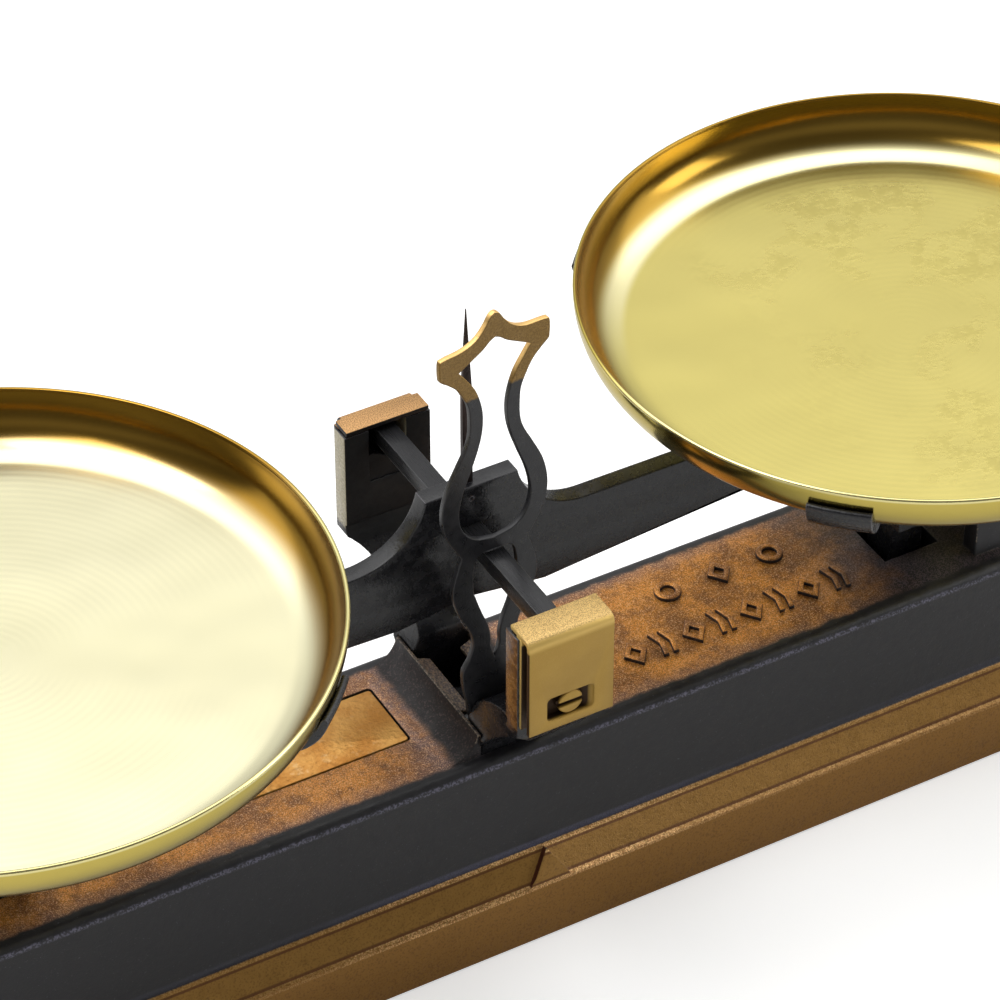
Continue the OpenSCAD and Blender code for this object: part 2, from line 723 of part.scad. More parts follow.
module beam_outline() {
    eye_z = -end_drop - end_knife_h / 2;
    shoulder_x = hub_half + shoulder_r;
    difference() {
        polygon([[-shoulder_x, hub_top], [-shoulder_x, arm_top], [-arm_len, arm_top - end_drop],
                 [-arm_len, -tip_low - end_drop], [-arm_low_x, -arm_low], [0, -mid_low], [arm_low_x, -arm_low],
                 [arm_len, -tip_low - end_drop], [arm_len, arm_top - end_drop], [shoulder_x, arm_top],
                 [shoulder_x, hub_top]]);
        for (s = [-1, 1]) translate([s * shoulder_x, arm_top + shoulder_r]) circle(shoulder_r);
    }
    for (s = [-1, 1]) translate([s * arm_len, eye_z]) circle(eye_r);
}

module beam() {
    color([0.14, 0.14, 0.15]) translate([0, 0, knife_z]) difference() {
        upright(-beam_t / 2, beam_t / 2) difference() {
            beam_outline();
            bar_section(fit);
            for (s = [-1, 1]) translate([s * arm_len, -end_drop]) end_section(fit);
        }
        block(-pointer_w / 2 - fit, pointer_w / 2 + fit, -pointer_t / 2 - fit, pointer_t / 2 + fit,
              hub_top - pointer_seat, hub_top + 1);
        rod_y(0, hub_top - pointer_seat / 2, rivet_r + fit, -beam_t, beam_t);
    }
}

rivet_r = pointer_w / 4;

module centre_knife() {
    color([0.45, 0.45, 0.47]) translate([0, 0, knife_z]) upright(-bar_half, bar_half) bar_section(0);
}

module end_knife(x) {
    reach = cheek_in + cheek_t - 0.4;
    color([0.6, 0.6, 0.62]) translate([x, 0, end_knife_z]) upright(-reach, reach) end_section(0);
}

module left_end_knife() { end_knife(-arm_len); }
module right_end_knife() { end_knife(arm_len); }

module pointer() {
    foot = hub_top - pointer_seat + fit;
    w = pointer_w / 2;
    color([0.2, 0.2, 0.22]) difference() {
        translate([0, 0, knife_z]) upright(-pointer_t / 2, pointer_t / 2)
            polygon([[-w, foot], [w, foot], [w, pointer_top - pointer_point], [0.2, pointer_top], [-0.2, pointer_top],
                     [-w, pointer_top - pointer_point]]);
        rod_y(0, knife_z + hub_top - pointer_seat / 2, rivet_r + fit, -beam_t, beam_t);
    }
}

// Rivet that is hammered flush with both faces of the hub
module pointer_rivet() {
    color("silver") rod_y(0, knife_z + hub_top - pointer_seat / 2, rivet_r, -beam_t / 2, beam_t / 2);
}

module lower_stay() {
    half = stay_h / 2;
    color([0.3, 0.3, 0.31]) translate([0, 0, stay_z]) upright(-stay_t / 2, stay_t / 2) difference() {
        union() {
            polygon([[-arm_len, -end_drop - half], [0, -half], [arm_len, -end_drop - half],
                     [arm_len, -end_drop + half], [0, half], [-arm_len, -end_drop + half]]);
            circle(stay_boss_r);
            for (s = [-1, 1]) translate([s * arm_len, -end_drop]) circle(stay_boss_r);
        }
        circle(pin_r + edge_play);
        for (s = [-1, 1]) translate([s * arm_len, -end_drop]) circle(pin_r + open_play);
    }
}

// One arm along +X whose end is turned up into a lug that follows the pan's corner
module carrier_arm() {
    bend_x = pan_wall_r - pan_r;
    in_r = pan_r + loose;
    bend_z = seat_z - rest_gap + in_r;
    low = seat_z - rest_gap - arm_t;
    top = rim_z - lug_below;
    end_r = in_r + lug_t / 2;
    end_a = asin((top - lug_t / 2 - bend_z) / end_r);
    root = hub_r * 0.7;
    tip = bend_x - 1;
    steps = 14;
    translate([0, 0, low]) linear_extrude(arm_t)
        polygon([[0, -arm_w * 0.7], [root, -arm_w * 0.7], [tip, -arm_w / 2], [tip, arm_w / 2], [root, arm_w * 0.7],
                 [0, arm_w * 0.7]]);
    intersection() {
        rotate_extrude() polygon(concat(
            arc(bend_x, bend_z, in_r, 270, 360 + end_a, steps),
            arc(bend_x + end_r * cos(end_a), bend_z + end_r * sin(end_a), lug_t / 2, 174 + end_a, end_a, 8),
            [for (i = [1:steps]) let (a = 360 + end_a - (90 + end_a) * i / steps,
                                      r = in_r + lug_t + (arm_t - lug_t) * i / steps)
                [bend_x + r * cos(a), bend_z + r * sin(a)]],
            [[bend_x - 3, low], [bend_x - 3, low + arm_t]]));
        block(0, pan_wall_r + lug_t + 2, -lug_w / 2, lug_w / 2, low - 1, rim_z);
    }
}

// Cast spider with its stirrup, stem and fork, drawn for the right pan
module carrier() {
    cheek_out = cheek_in + cheek_t;
    ear_in = stay_t / 2 + side_gap;
    ear_out = ear_in + ear_t;
    window = bearing_half + fit;
    color([0.13, 0.13, 0.14]) difference() {
        union() {
            for (a = [45:90:315]) rotate([0, 0, a]) carrier_arm();
            translate([0, 0, hub_low_z]) cylinder(r = hub_r, h = hub_t - rest_gap);
            for (s = [0, 1]) mirror([0, s, 0]) {
                block(-cheek_half, cheek_half, cheek_in, cheek_out, yoke_z, hub_low_z + eps);
                block(-stem_w / 2, stem_w / 2, ear_in, ear_out, stay_end_z, stay_end_z + stay_boss_r + 5);
                rod_y(0, stay_end_z, stem_w / 2, ear_in, ear_out);
            }
            block(-cheek_half, cheek_half, -cheek_out, cheek_out, yoke_z, yoke_z + yoke_t);
            block(-stem_w / 2, stem_w / 2, -ear_out, ear_out, stay_end_z + stay_boss_r + 2, yoke_z + eps);
        }
        rod_y(0, stay_end_z, pin_r + fit, -ear_out - 1, ear_out + 1);
        block(-window, window, -cheek_out - 1, cheek_out + 1, end_knife_z - end_knife_h - 4, bearing_top + fit);
    }
}

bearing_half = end_knife_w / 2 + 1.6;
bearing_top = end_knife_z + 6;

// Pair of hardened blocks that sit on the end knife, drawn for the right pan
module carrier_bearings() {
    vee = 1.9;
    low = end_knife_z + edge_play;
    color([0.6, 0.6, 0.62]) for (s = [0, 1]) mirror([0, s, 0])
        upright(cheek_in, cheek_in + cheek_t)
            polygon([[-bearing_half, low - vee], [-vee * 1.9, low - vee], [0, low], [vee * 1.9, low - vee],
                     [bearing_half, low - vee], [bearing_half, bearing_top], [-bearing_half, bearing_top]]);
}

module pan() {
    r = pan_r;
    color([0.82, 0.72, 0.38]) rotate_extrude() union() {
        square([pan_wall_r - r, pan_t]);
        translate([pan_wall_r - r, r]) difference() {
            circle(r);
            circle(r - pan_t);
            translate([-2 * r, -2 * r]) square([2 * r, 4 * r]);
            translate([-r, 0]) square([3 * r, 2 * r]);
        }
        translate([pan_wall_r - pan_t, r]) square([pan_t, pan_h - r - bead_r]);
        translate([pan_wall_r - pan_t / 2, pan_h - bead_r]) circle(bead_r);
    }
}

module at_left() { translate([-arm_len, 0, 0]) children(); }
module at_right() { translate([arm_len, 0, 0]) children(); }

base_casting();
front() pillar();  // front_pillar
pillar();  // rear_pillar
front() pillar_screws();  // front_pillar_screws
pillar_screws();  // rear_pillar_screws
front() bearing();  // front_bearing
bearing();  // rear_bearing
front() end_plate();  // front_end_plate
end_plate();  // rear_end_plate
front() front_cover();
rear_cover();
front() cover_screw(front_seat, cover_out - front_seat - 0.3);  // front_cover_screw
cover_screw(rear_back, screw_head_h);  // rear_cover_screw
index_frame();
index_frame_screws();
adjusting_plate();
stay_bracket();
stay_bracket_screws();
stay_centre_pin();
beam();
centre_knife();
left_end_knife();
right_end_knife();
pointer();
pointer_rivet();
lower_stay();
at_left() carrier();  // left_carrier
at_left() carrier_bearings();  // left_carrier_bearings
left_stay_pin();
at_right() carrier();  // right_carrier
at_right() carrier_bearings();  // right_carrier_bearings
right_stay_pin();
at_left() translate([0, 0, seat_z]) pan();  // left_pan
at_right() translate([0, 0, seat_z]) pan();  // right_pan
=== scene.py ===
import math

import bmesh
import bpy
from mathutils import Matrix, Vector


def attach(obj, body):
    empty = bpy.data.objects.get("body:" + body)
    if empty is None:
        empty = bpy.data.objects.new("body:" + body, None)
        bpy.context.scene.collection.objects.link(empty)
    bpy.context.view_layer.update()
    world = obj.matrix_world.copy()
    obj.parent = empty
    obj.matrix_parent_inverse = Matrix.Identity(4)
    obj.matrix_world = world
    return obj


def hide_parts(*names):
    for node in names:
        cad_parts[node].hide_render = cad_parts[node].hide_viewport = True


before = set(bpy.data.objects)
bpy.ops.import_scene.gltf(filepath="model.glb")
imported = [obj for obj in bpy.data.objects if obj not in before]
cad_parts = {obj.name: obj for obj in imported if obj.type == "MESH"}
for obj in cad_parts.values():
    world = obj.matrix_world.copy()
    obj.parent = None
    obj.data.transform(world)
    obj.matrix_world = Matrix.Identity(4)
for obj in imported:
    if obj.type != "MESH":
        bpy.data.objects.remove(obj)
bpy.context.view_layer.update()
scene = bpy.context.scene

# Camera: stands to the front left and looks down at about 40 degrees, with a long lens,
# close in on the middle of the balance.
camera = bpy.data.objects.new("camera", bpy.data.cameras.new("camera"))
scene.collection.objects.link(camera)
camera.data.lens = 162.43
camera.data.sensor_width = 36
camera.data.clip_end = 20
standpoint = (-0.3953, -0.7139, 0.7944)
turn, tilt = math.radians(-29.522), math.radians(39.666)
to_right = Vector((math.cos(turn), math.sin(turn), 0))
to_camera = Vector((math.sin(turn) * math.cos(tilt), -math.cos(turn) * math.cos(tilt), math.sin(tilt)))
to_top = to_camera.cross(to_right)
camera.matrix_world = Matrix.Translation(standpoint) @ Matrix(
    (to_right, to_top, to_camera)).transposed().to_4x4()
scene.camera = camera

# Light: a room that is dim on the camera's side and brighter behind the balance, under a wide
# bank of white light that hangs high at the rear; two softboxes add the shadow on the table.
scene.view_settings.view_transform = "Standard"
world = bpy.data.worlds.new("studio")
scene.world = world
world.use_nodes = True
sky = world.node_tree
room = sky.nodes["Background"]
direction = sky.nodes.new("ShaderNodeTexCoord")
parts = sky.nodes.new("ShaderNodeSeparateXYZ")
sky.links.new(direction.outputs["Generated"], parts.inputs[0])
rearward = sky.nodes.new("ShaderNodeVectorMath")
rearward.operation = "DOT_PRODUCT"
rearward.inputs[1].default_value = (0.45, 0.89, 0)
sky.links.new(direction.outputs["Generated"], rearward.inputs[0])
climb = sky.nodes.new("ShaderNodeMath")
climb.operation = "ARCTAN2"
sky.links.new(parts.outputs["Z"], climb.inputs[0])
sky.links.new(rearward.outputs["Value"], climb.inputs[1])
share = sky.nodes.new("ShaderNodeMapRange")
share.inputs["From Min"].default_value = -math.pi
share.inputs["From Max"].default_value = math.pi
sky.links.new(climb.outputs[0], share.inputs["Value"])
levels = sky.nodes.new("ShaderNodeValToRGB")
levels.color_ramp.interpolation = "EASE"
# Angle from the rear horizon over the top to the front horizon, and the light that comes from there
for number, (angle, light) in enumerate((
        (-180, 0.11), (-60, 0.2), (0, 0.36), (36, 0.4), (42, 0.5), (49, 0.98), (80, 1.0),
        (92, 0.32), (104, 0.07), (128, 0.06), (148, 0.15), (162, 0.1), (180, 0.12))):
    if number < 2:
        stop = levels.color_ramp.elements[number]
        stop.position = (angle + 180) / 360
    else:
        stop = levels.color_ramp.elements.new((angle + 180) / 360)
    stop.color = (light, light, light, 1)
sky.links.new(share.outputs["Result"], levels.inputs["Fac"])
# High up the light is about twice as strong as near the horizon
low_sides = sky.nodes.new("ShaderNodeMapRange")
for socket, value in (("From Min", 0.05), ("From Max", 0.5), ("To Min", 0.9), ("To Max", 2.0)):
    low_sides.inputs[socket].default_value = value
sky.links.new(parts.outputs["Z"], low_sides.inputs["Value"])
falloff = sky.nodes.new("ShaderNodeMath")
falloff.operation = "MULTIPLY"
sky.links.new(levels.outputs["Color"], falloff.inputs[0])
sky.links.new(low_sides.outputs["Result"], falloff.inputs[1])
# The camera itself sees plain white
seen = sky.nodes.new("ShaderNodeLightPath")
brightness = sky.nodes.new("ShaderNodeMix")
sky.links.new(seen.outputs["Is Camera Ray"], brightness.inputs["Factor"])
sky.links.new(falloff.outputs[0], brightness.inputs["A"])
brightness.inputs["B"].default_value = 1.0
sky.links.new(brightness.outputs["Result"], room.inputs["Strength"])
room.inputs["Color"].default_value = (1, 1, 1, 1)


def softbox(name, place, aim, size, power):
    lamp = bpy.data.lights.new(name, "AREA")
    lamp.shape = "RECTANGLE"
    lamp.size, lamp.size_y = size
    lamp.energy = power
    holder = bpy.data.objects.new(name, lamp)
    scene.collection.objects.link(holder)
    holder.location = place
    holder.rotation_euler = (Vector(aim) - Vector(place)).to_track_quat("-Z", "Y").to_euler()


balance_middle = (0, 0, 0.08)
softbox("overhead_softbox", (-0.55, 0.1, 1.25), balance_middle, (0.8, 0.6), 6)
softbox("side_softbox", (1.1, -0.7, 0.7), balance_middle, (0.5, 0.5), 3)

# Table: a plain pale surface that shows only the balance's shadow. A glow that only the camera
# sees makes it white round the shadow.
tabletop = bpy.data.meshes.new("table")
tabletop.from_pydata([(-4, -4, 0), (4, -4, 0), (4, 4, 0), (-4, 4, 0)], [], [(0, 1, 2, 3)])
table = bpy.data.objects.new("table", tabletop)
scene.collection.objects.link(table)
pale = bpy.data.materials.new("pale_table")
pale.use_nodes = True
cloth = pale.node_tree
matt = cloth.nodes["Principled BSDF"]
matt.inputs["Base Color"].default_value = (0.78, 0.78, 0.78, 1)
matt.inputs["Roughness"].default_value = 0.9
matt.inputs["Specular IOR Level"].default_value = 0.1
glow = cloth.nodes.new("ShaderNodeEmission")
seen = cloth.nodes.new("ShaderNodeLightPath")
amount = cloth.nodes.new("ShaderNodeMath")
amount.operation = "MULTIPLY"
amount.inputs[1].default_value = 0.5
cloth.links.new(seen.outputs["Is Camera Ray"], amount.inputs[0])
cloth.links.new(amount.outputs[0], glow.inputs["Strength"])
both = cloth.nodes.new("ShaderNodeAddShader")
cloth.links.new(matt.outputs[0], both.inputs[0])
cloth.links.new(glow.outputs[0], both.inputs[1])
cloth.links.new(both.outputs[0], cloth.nodes["Material Output"].inputs["Surface"])
tabletop.materials.append(pale)


# Base: one hollow iron casting, enamelled black, then dusted with copper-gold bronze paint
# over its top and plinth. Its lips keep dust out of the well through which the works pass.
def srgb(red, green, blue):
    linear = [((c / 255 + 0.055) / 1.055) ** 2.4 if c > 10 else c / 255 / 12.92 for c in (red, green, blue)]
    return (*linear, 1)


class Finish:
    """A paint or metal laid out as shader nodes; lengths are in millimetres."""

    def __init__(self, name):
        self.material = bpy.data.materials.new(name)
        self.material.use_nodes = True
        self.tree = self.material.node_tree
        self.surface = self.tree.nodes["Principled BSDF"]
        coordinates = self.tree.nodes.new("ShaderNodeTexCoord")
        scaled = self.tree.nodes.new("ShaderNodeVectorMath")
        scaled.operation = "SCALE"
        scaled.inputs["Scale"].default_value = 1000
        self.tree.links.new(coordinates.outputs["Object"], scaled.inputs[0])
        self.place = scaled.outputs[0]
        self.x, self.y, self.z = self.split(self.place)
        self.rightward, self.backward, self.up = self.split(coordinates.outputs["Normal"])

    def put(self, socket, value):
        if isinstance(value, bpy.types.NodeSocket):
            self.tree.links.new(value, socket)
        else:
            socket.default_value = value

    def split(self, vector):
        node = self.tree.nodes.new("ShaderNodeSeparateXYZ")
        self.put(node.inputs[0], vector)
        return node.outputs[0], node.outputs[1], node.outputs[2]

    def math(self, operation, first, second=0.0, clamp=False):
        node = self.tree.nodes.new("ShaderNodeMath")
        node.operation = operation
        node.use_clamp = clamp
        self.put(node.inputs[0], first)
        self.put(node.inputs[1], second)
        return node.outputs[0]

    def add(self, first, second, clamp=False):
        return self.math("ADD", first, second, clamp)

    def times(self, first, *others):
        product = first
        for other in others:
            product = self.math("MULTIPLY", product, other)
        return product

    def ramp(self, value, start, end, low=0.0, high=1.0):
        """Goes smoothly from low at start to high at end; start may be the larger one."""
        node = self.tree.nodes.new("ShaderNodeMapRange")
        node.interpolation_type = "SMOOTHSTEP"
        self.put(node.inputs["Value"], value)
        if start > end:
            start, end, low, high = end, start, high, low
        node.inputs["From Min"].default_value = start
        node.inputs["From Max"].default_value = end
        node.inputs["To Min"].default_value = low
        node.inputs["To Max"].default_value = high
        return node.outputs["Result"]

    def span(self, value, start, full, hold, end):
        """Rises from 0 to 1 between start and full, and falls back to 0 between hold and end."""
        return self.times(self.ramp(value, start, full), self.ramp(value, end, hold))

    def noise(self, size, detail=3.0, roughness=0.5, stretch=(1, 1, 1), shift=0.0):
        mapping = self.tree.nodes.new("ShaderNodeMapping")
        mapping.inputs["Location"].default_value = (shift, shift, shift)
        mapping.inputs["Scale"].default_value = [s / size for s in stretch]
        self.put(mapping.inputs["Vector"], self.place)
        node = self.tree.nodes.new("ShaderNodeTexNoise")
        node.inputs["Scale"].default_value = 1
        node.inputs["Detail"].default_value = detail
        node.inputs["Roughness"].default_value = roughness
        self.put(node.inputs["Vector"], mapping.outputs[0])
        return node.outputs["Fac"]

    def blend(self, amount, first, second):
        node = self.tree.nodes.new("ShaderNodeMix")
        node.data_type = "RGBA"
        self.put(node.inputs[0], amount)
        self.put(node.inputs[6], first)
        self.put(node.inputs[7], second)
        return node.outputs[2]

    def edges(self, radius):
        """How near an outer edge lies, from 0 to 1, and the normal with that edge rounded."""
        rounded = self.tree.nodes.new("ShaderNodeBevel")
        rounded.samples = 6
        rounded.inputs["Radius"].default_value = radius / 1000
        geometry = self.tree.nodes.new("ShaderNodeNewGeometry")
        node = self.tree.nodes.new("ShaderNodeVectorMath")
        node.operation = "DOT_PRODUCT"
        self.put(node.inputs[0], rounded.outputs[0])
        self.put(node.inputs[1], geometry.outputs["Normal"])
        return self.ramp(node.outputs["Value"], 0.995, 0.86), rounded.outputs[0]

    def bump(self, height, depth, rounded=None):
        node = self.tree.nodes.new("ShaderNodeBump")
        node.inputs["Strength"].default_value = 1
        node.inputs["Distance"].default_value = depth / 1000
        self.put(node.inputs["Height"], height)
        if rounded:
            self.put(node.inputs["Normal"], rounded)
        self.put(self.surface.inputs["Normal"], node.outputs[0])

    def set(self, **values):
        for name, value in values.items():
            self.put(self.surface.inputs[name.replace("_", " ")], value)


def coat(piece, material):
    piece.data.materials.clear()
    piece.data.materials.append(material)


def finish_piece(piece, material, body, slot, *nodes):
    coat(piece, material)
    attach(piece, body)
    if nodes:
        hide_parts(*nodes)


def add_piece(name, vertices, faces):
    mesh = bpy.data.meshes.new(name)
    mesh.from_pydata([[c / 1000 for c in v] for v in vertices], [], faces)
    piece = bpy.data.objects.new(name, mesh)
    scene.collection.objects.link(piece)
    work = bmesh.new()
    work.from_mesh(mesh)
    bmesh.ops.recalc_face_normals(work, faces=work.faces)
    work.to_mesh(mesh)
    work.free()
    return piece


def stack(name, loops):
    """A skin over loops of equally many points, closed by a flat face at each end."""
    count = len(loops[0])
    vertices = [point for loop in loops for point in loop]
    faces = []
    for level in range(len(loops) - 1):
        for i in range(count):
            a, b = level * count + i, level * count + (i + 1) % count
            faces.append((a, b, b + count, a + count))
    faces.append(tuple(range(count - 1, -1, -1)))
    faces.append(tuple(range((len(loops) - 1) * count, len(loops) * count)))
    return add_piece(name, vertices, faces)


def prism(name, outline, start, end, along="y"):
    """An outline drawn in X and Z (or Y and Z, or X and Y) and pushed out along the third axis."""
    place = {"x": lambda p, t: (t, p[0], p[1]),
             "y": lambda p, t: (p[0], t, p[1]),
             "z": lambda p, t: (p[0], p[1], t)}[along]
    return stack(name, [[place(p, t) for p in outline] for t in (start, end)])


def box(name, x0, x1, y0, y1, z0, z1):
    return prism(name, [(x0, y0), (x1, y0), (x1, y1), (x0, y1)], z0, z1, "z")


def take_result(piece):
    """Keeps the mesh that the piece's modifiers make, and drops the modifiers."""
    bpy.context.view_layer.update()
    result = bpy.data.meshes.new_from_object(piece.evaluated_get(bpy.context.evaluated_depsgraph_get()))
    piece.modifiers.clear()
    old, piece.data = piece.data, result
    bpy.data.meshes.remove(old)


def combine(piece, tools, operation):
    for tool in tools:
        step = piece.modifiers.new("cut", "BOOLEAN")
        step.operation = operation
        step.solver = "EXACT"
        step.object = tool
        take_result(piece)
        bpy.data.objects.remove(tool)
    return piece


def smooth(piece, angle=35):
    for face in piece.data.polygons:
        face.use_smooth = True
    piece.data.set_sharp_from_angle(angle=math.radians(angle))
    return piece


def round_edges(piece, width):
    """Breaks the sharp edges, as filing, casting or paint does."""
    work = bmesh.new()
    work.from_mesh(piece.data)
    bmesh.ops.remove_doubles(work, verts=work.verts, dist=0.00001)
    bmesh.ops.dissolve_limit(work, angle_limit=math.radians(0.5), verts=work.verts, edges=work.edges)
    work.to_mesh(piece.data)
    work.free()
    step = piece.modifiers.new("rounding", "BEVEL")
    step.width = width / 1000
    step.segments = 2
    step.limit_method = "ANGLE"
    step.angle_limit = math.radians(30)
    take_result(piece)
    return smooth(piece)


def arc(x, y, radius, start, end, steps):
    turns = [math.radians(start + (end - start) * i / steps) for i in range(steps + 1)]
    return [(x + radius * math.cos(t), y + radius * math.sin(t)) for t in turns]


def rounded_loop(half_x, half_y, radius, z, x=0, y=0):
    """A rectangle with rounded corners at height z, with its middle at x and y."""
    corners = ((1, 1, 0), (-1, 1, 90), (-1, -1, 180), (1, -1, 270))
    return [(x + across, y + deep, z) for sx, sy, turn in corners for across, deep in arc(
        sx * (half_x - radius), sy * (half_y - radius), radius, turn, turn + 90, 6)]


def base_loop(grow, z):
    half_length, half_width, corner = 157, 24.2, 7
    return rounded_loop(half_length + grow, half_width + grow, max(corner + grow, 2.5), z)


arm = 124
base_top = 56
top_edge = 2.6
# How far the plinth, its sloping band and the flank stand out beyond the top, and at what height
outside = [base_loop(grow, z) for grow, z in (
    (8.2, 0), (8.8, 0.6), (7.7, 16.4), (7.4, 17.1), (6.95, 17.4), (6.75, 17.6), (3.75, 25.8),
    (3.35, 26.3), (3.0, 26.5), (2.75, 26.9), (2.55, 28), (0.1, 52.4))]
for degrees in (0, 15, 30, 45, 60, 75, 90):
    angle = math.radians(degrees)
    outside.append(base_loop(-top_edge * (1 - math.cos(angle)), base_top - top_edge * (1 - math.sin(angle))))
casting = stack("base", outside)
inside = [rounded_loop(half_x, half_y, 5, z) for half_x, half_y, z in (
    (157.2, 24.4, -1), (157.2, 24.4, 14.3), (152.4, 19.6, 21.4), (152.4, 19.6, 51.5))]
combine(casting, [stack("hollow", inside)], "DIFFERENCE")


def shield(side):
    """A raised pointed shield whose tip touches the top of the sloping band."""
    slope = math.atan2(3.2, 9)
    tip_x, tip_y, tip_z = 5.3, 27.8, 26.1
    half_width, drop = 8.1, 13.5
    loops = [[(tip_x + x, side * (tip_y + out * math.cos(slope) - z * math.sin(slope)),
               tip_z + out * math.sin(slope) + z * math.cos(slope))
              for x, z in ((0, 0), (half_width, -drop), (-half_width, -drop))] for out in (-3, 1.8)]
    return combine(stack("shield", loops), [box("limit", -30, 30, -31.8, 31.8, 16.4, 32)], "INTERSECT")


additions = [shield(-1), shield(1)]
lip_side = [(7.9, 51), (17.2, 51)] + arc(17.0, 64.5, 8.5, 270, 190.2, 10) + [(8.35, 63), (7.9, 62.8)]
for side in (1, -1):
    additions.append(prism("lip", [(side * x, z) for x, z in lip_side], -20.5, 20.5))
    # Guard wall round the outer side of the pan carrier's stirrup
    inner, outer, end = side * 137, side * 152, side * 148
    wall = [(inner, 12), (inner, 17.4), (outer, 17.4), (outer, -17.4), (inner, -17.4), (inner, -12),
            (end, -12), (end, 12)]
    additions.append(prism("guard", wall, 55.5, 78, "z"))
combine(casting, additions, "UNION")

openings = [box("well", -7.9, 7.9, -19.6, 19.6, 50, 65)]
for side in (1, -1):
    openings.append(box("slot", side * arm - 8, side * arm + 8, -8, 8, 50, 58))
seat_x, seat_y = -42.5, 3.5
openings.append(stack("seat", [rounded_loop(23, 10.7, 1.3, z, seat_x, seat_y) for z in (54, 58)]))
openings.append(stack("hole", [rounded_loop(20, 7.7, 1.5, z, seat_x, seat_y) for z in (50, 55)]))
combine(casting, openings, "DIFFERENCE")
# Ledges that slope down from the lips over the well
ledge = ((8.2, 62.6), (4.3, 61), (4.3, 60), (8.2, 60.6))
combine(casting, [prism("ledge", [(side * x, z) for x, z in ledge], -10, 11.5) for side in (1, -1)], "UNION")
round_edges(casting, 0.5)

enamel = Finish("bronzed_enamel")
grain = enamel.noise(0.3, 1)
flecks = enamel.noise(0.55, 2, shift=11)
cloud = enamel.noise(9, 4, 0.6)
patch = enamel.noise(3.2, 4, 0.65, shift=7)
near_edge, rounded = enamel.edges(0.7)
side = enamel.math("ABSOLUTE", enamel.y)
middle = enamel.math("ABSOLUTE", enamel.x)
drift = enamel.times(enamel.math("SUBTRACT", enamel.noise(5, 3, shift=5), 0.5), 6)
# The bronze covers the top, but stops short of its rim, of the well and of the right end
top = enamel.times(enamel.ramp(enamel.up, 0.3, 0.8), enamel.ramp(enamel.z, 54.6, 55.9))
rim = enamel.ramp(enamel.add(side, enamel.times(drift, 0.4)), 21.0, 19.4)
near_well = enamel.ramp(enamel.add(middle, enamel.times(drift, 0.4)), 13.8, 17.0)
far_end = enamel.ramp(enamel.add(enamel.x, enamel.times(drift, 3)), 120, 88)
bronzed = enamel.times(top, rim, near_well, far_end)
# It is orange where it lies thick, grey-violet and grainy where it was only dusted on
bronze = enamel.blend(enamel.ramp(cloud, 0.36, 0.6), srgb(158, 104, 56), srgb(230, 154, 68))
bronze = enamel.blend(enamel.ramp(patch, 0.5, 0.7, 0, 0.55), bronze, srgb(128, 86, 56))
thin = enamel.times(enamel.ramp(enamel.add(middle, drift), 30, 17), enamel.ramp(patch, 0.3, 0.6, 0.5, 1))
thin = enamel.math("MAXIMUM", thin, enamel.ramp(enamel.add(side, drift), 15, 20.5, 0, 0.65))
bronze = enamel.blend(thin, bronze, srgb(144, 114, 104))
bronze = enamel.blend(enamel.ramp(grain, 0.5, 0.36, 0, 0.55), bronze, srgb(74, 50, 38))
bronze = enamel.blend(enamel.ramp(grain, 0.56, 0.7, 0, 0.8), bronze, srgb(240, 196, 150))
black = enamel.blend(patch, srgb(27, 26, 28), srgb(40, 39, 42))
black = enamel.blend(enamel.ramp(flecks, 0.66, 0.76, 0, 0.5), black, srgb(84, 82, 92))
dusted = enamel.times(top, rim, enamel.ramp(grain, 0.46, 0.6, 0, 0.6))
colour = enamel.blend(dusted, black, srgb(112, 98, 104))
# The lips' slopes are dull and sooty, the ledges over the well catch some dust
slope = enamel.times(enamel.span(middle, 7.8, 8.3, 16.6, 17.6), enamel.ramp(enamel.z, 56.0, 56.4),
                     enamel.ramp(enamel.up, -0.1, 0.1))
soot = enamel.blend(enamel.ramp(flecks, 0.55, 0.68), srgb(24, 18, 18), srgb(74, 58, 56))
colour = enamel.blend(enamel.times(slope, 0.9), colour, soot)
ledges = enamel.times(enamel.ramp(enamel.z, 58, 59.5), enamel.ramp(middle, 8.6, 8.0))
colour = enamel.blend(enamel.times(ledges, enamel.ramp(flecks, 0.42, 0.62)), colour, srgb(132, 112, 92))
colour = enamel.blend(bronzed, colour, bronze)
# The plinth and the sloping band over it are bronzed all over. The sloping band is painted a little lighter than the
# upright plinth, as painted light on the face turned up
facet = enamel.blend(patch, srgb(148, 108, 48), srgb(172, 128, 60))
band = enamel.blend(patch, srgb(140, 98, 42), srgb(166, 120, 54))
plinth = enamel.blend(enamel.ramp(enamel.z, 17.0, 17.5), band, facet)
plinth = enamel.blend(enamel.ramp(flecks, 0.5, 0.34, 0, 0.35), plinth, srgb(84, 58, 26))
colour = enamel.blend(enamel.ramp(enamel.z, 26.45, 26.2), colour, plinth)
# The shield's flanks are painted dark as painted shade, the left one red-brown and the right one olive
shaded_flanks = enamel.times(enamel.ramp(enamel.math("ABSOLUTE", enamel.rightward), 0.4, 0.6),
                      enamel.ramp(enamel.z, 17.2, 17.8), enamel.ramp(middle, 22, 20))
flank_shade = enamel.blend(enamel.ramp(enamel.rightward, -0.1, 0.1), srgb(84, 44, 30), srgb(66, 56, 30))
colour = enamel.blend(enamel.times(shaded_flanks, enamel.ramp(enamel.z, 26.4, 26.1)), colour, flank_shade)
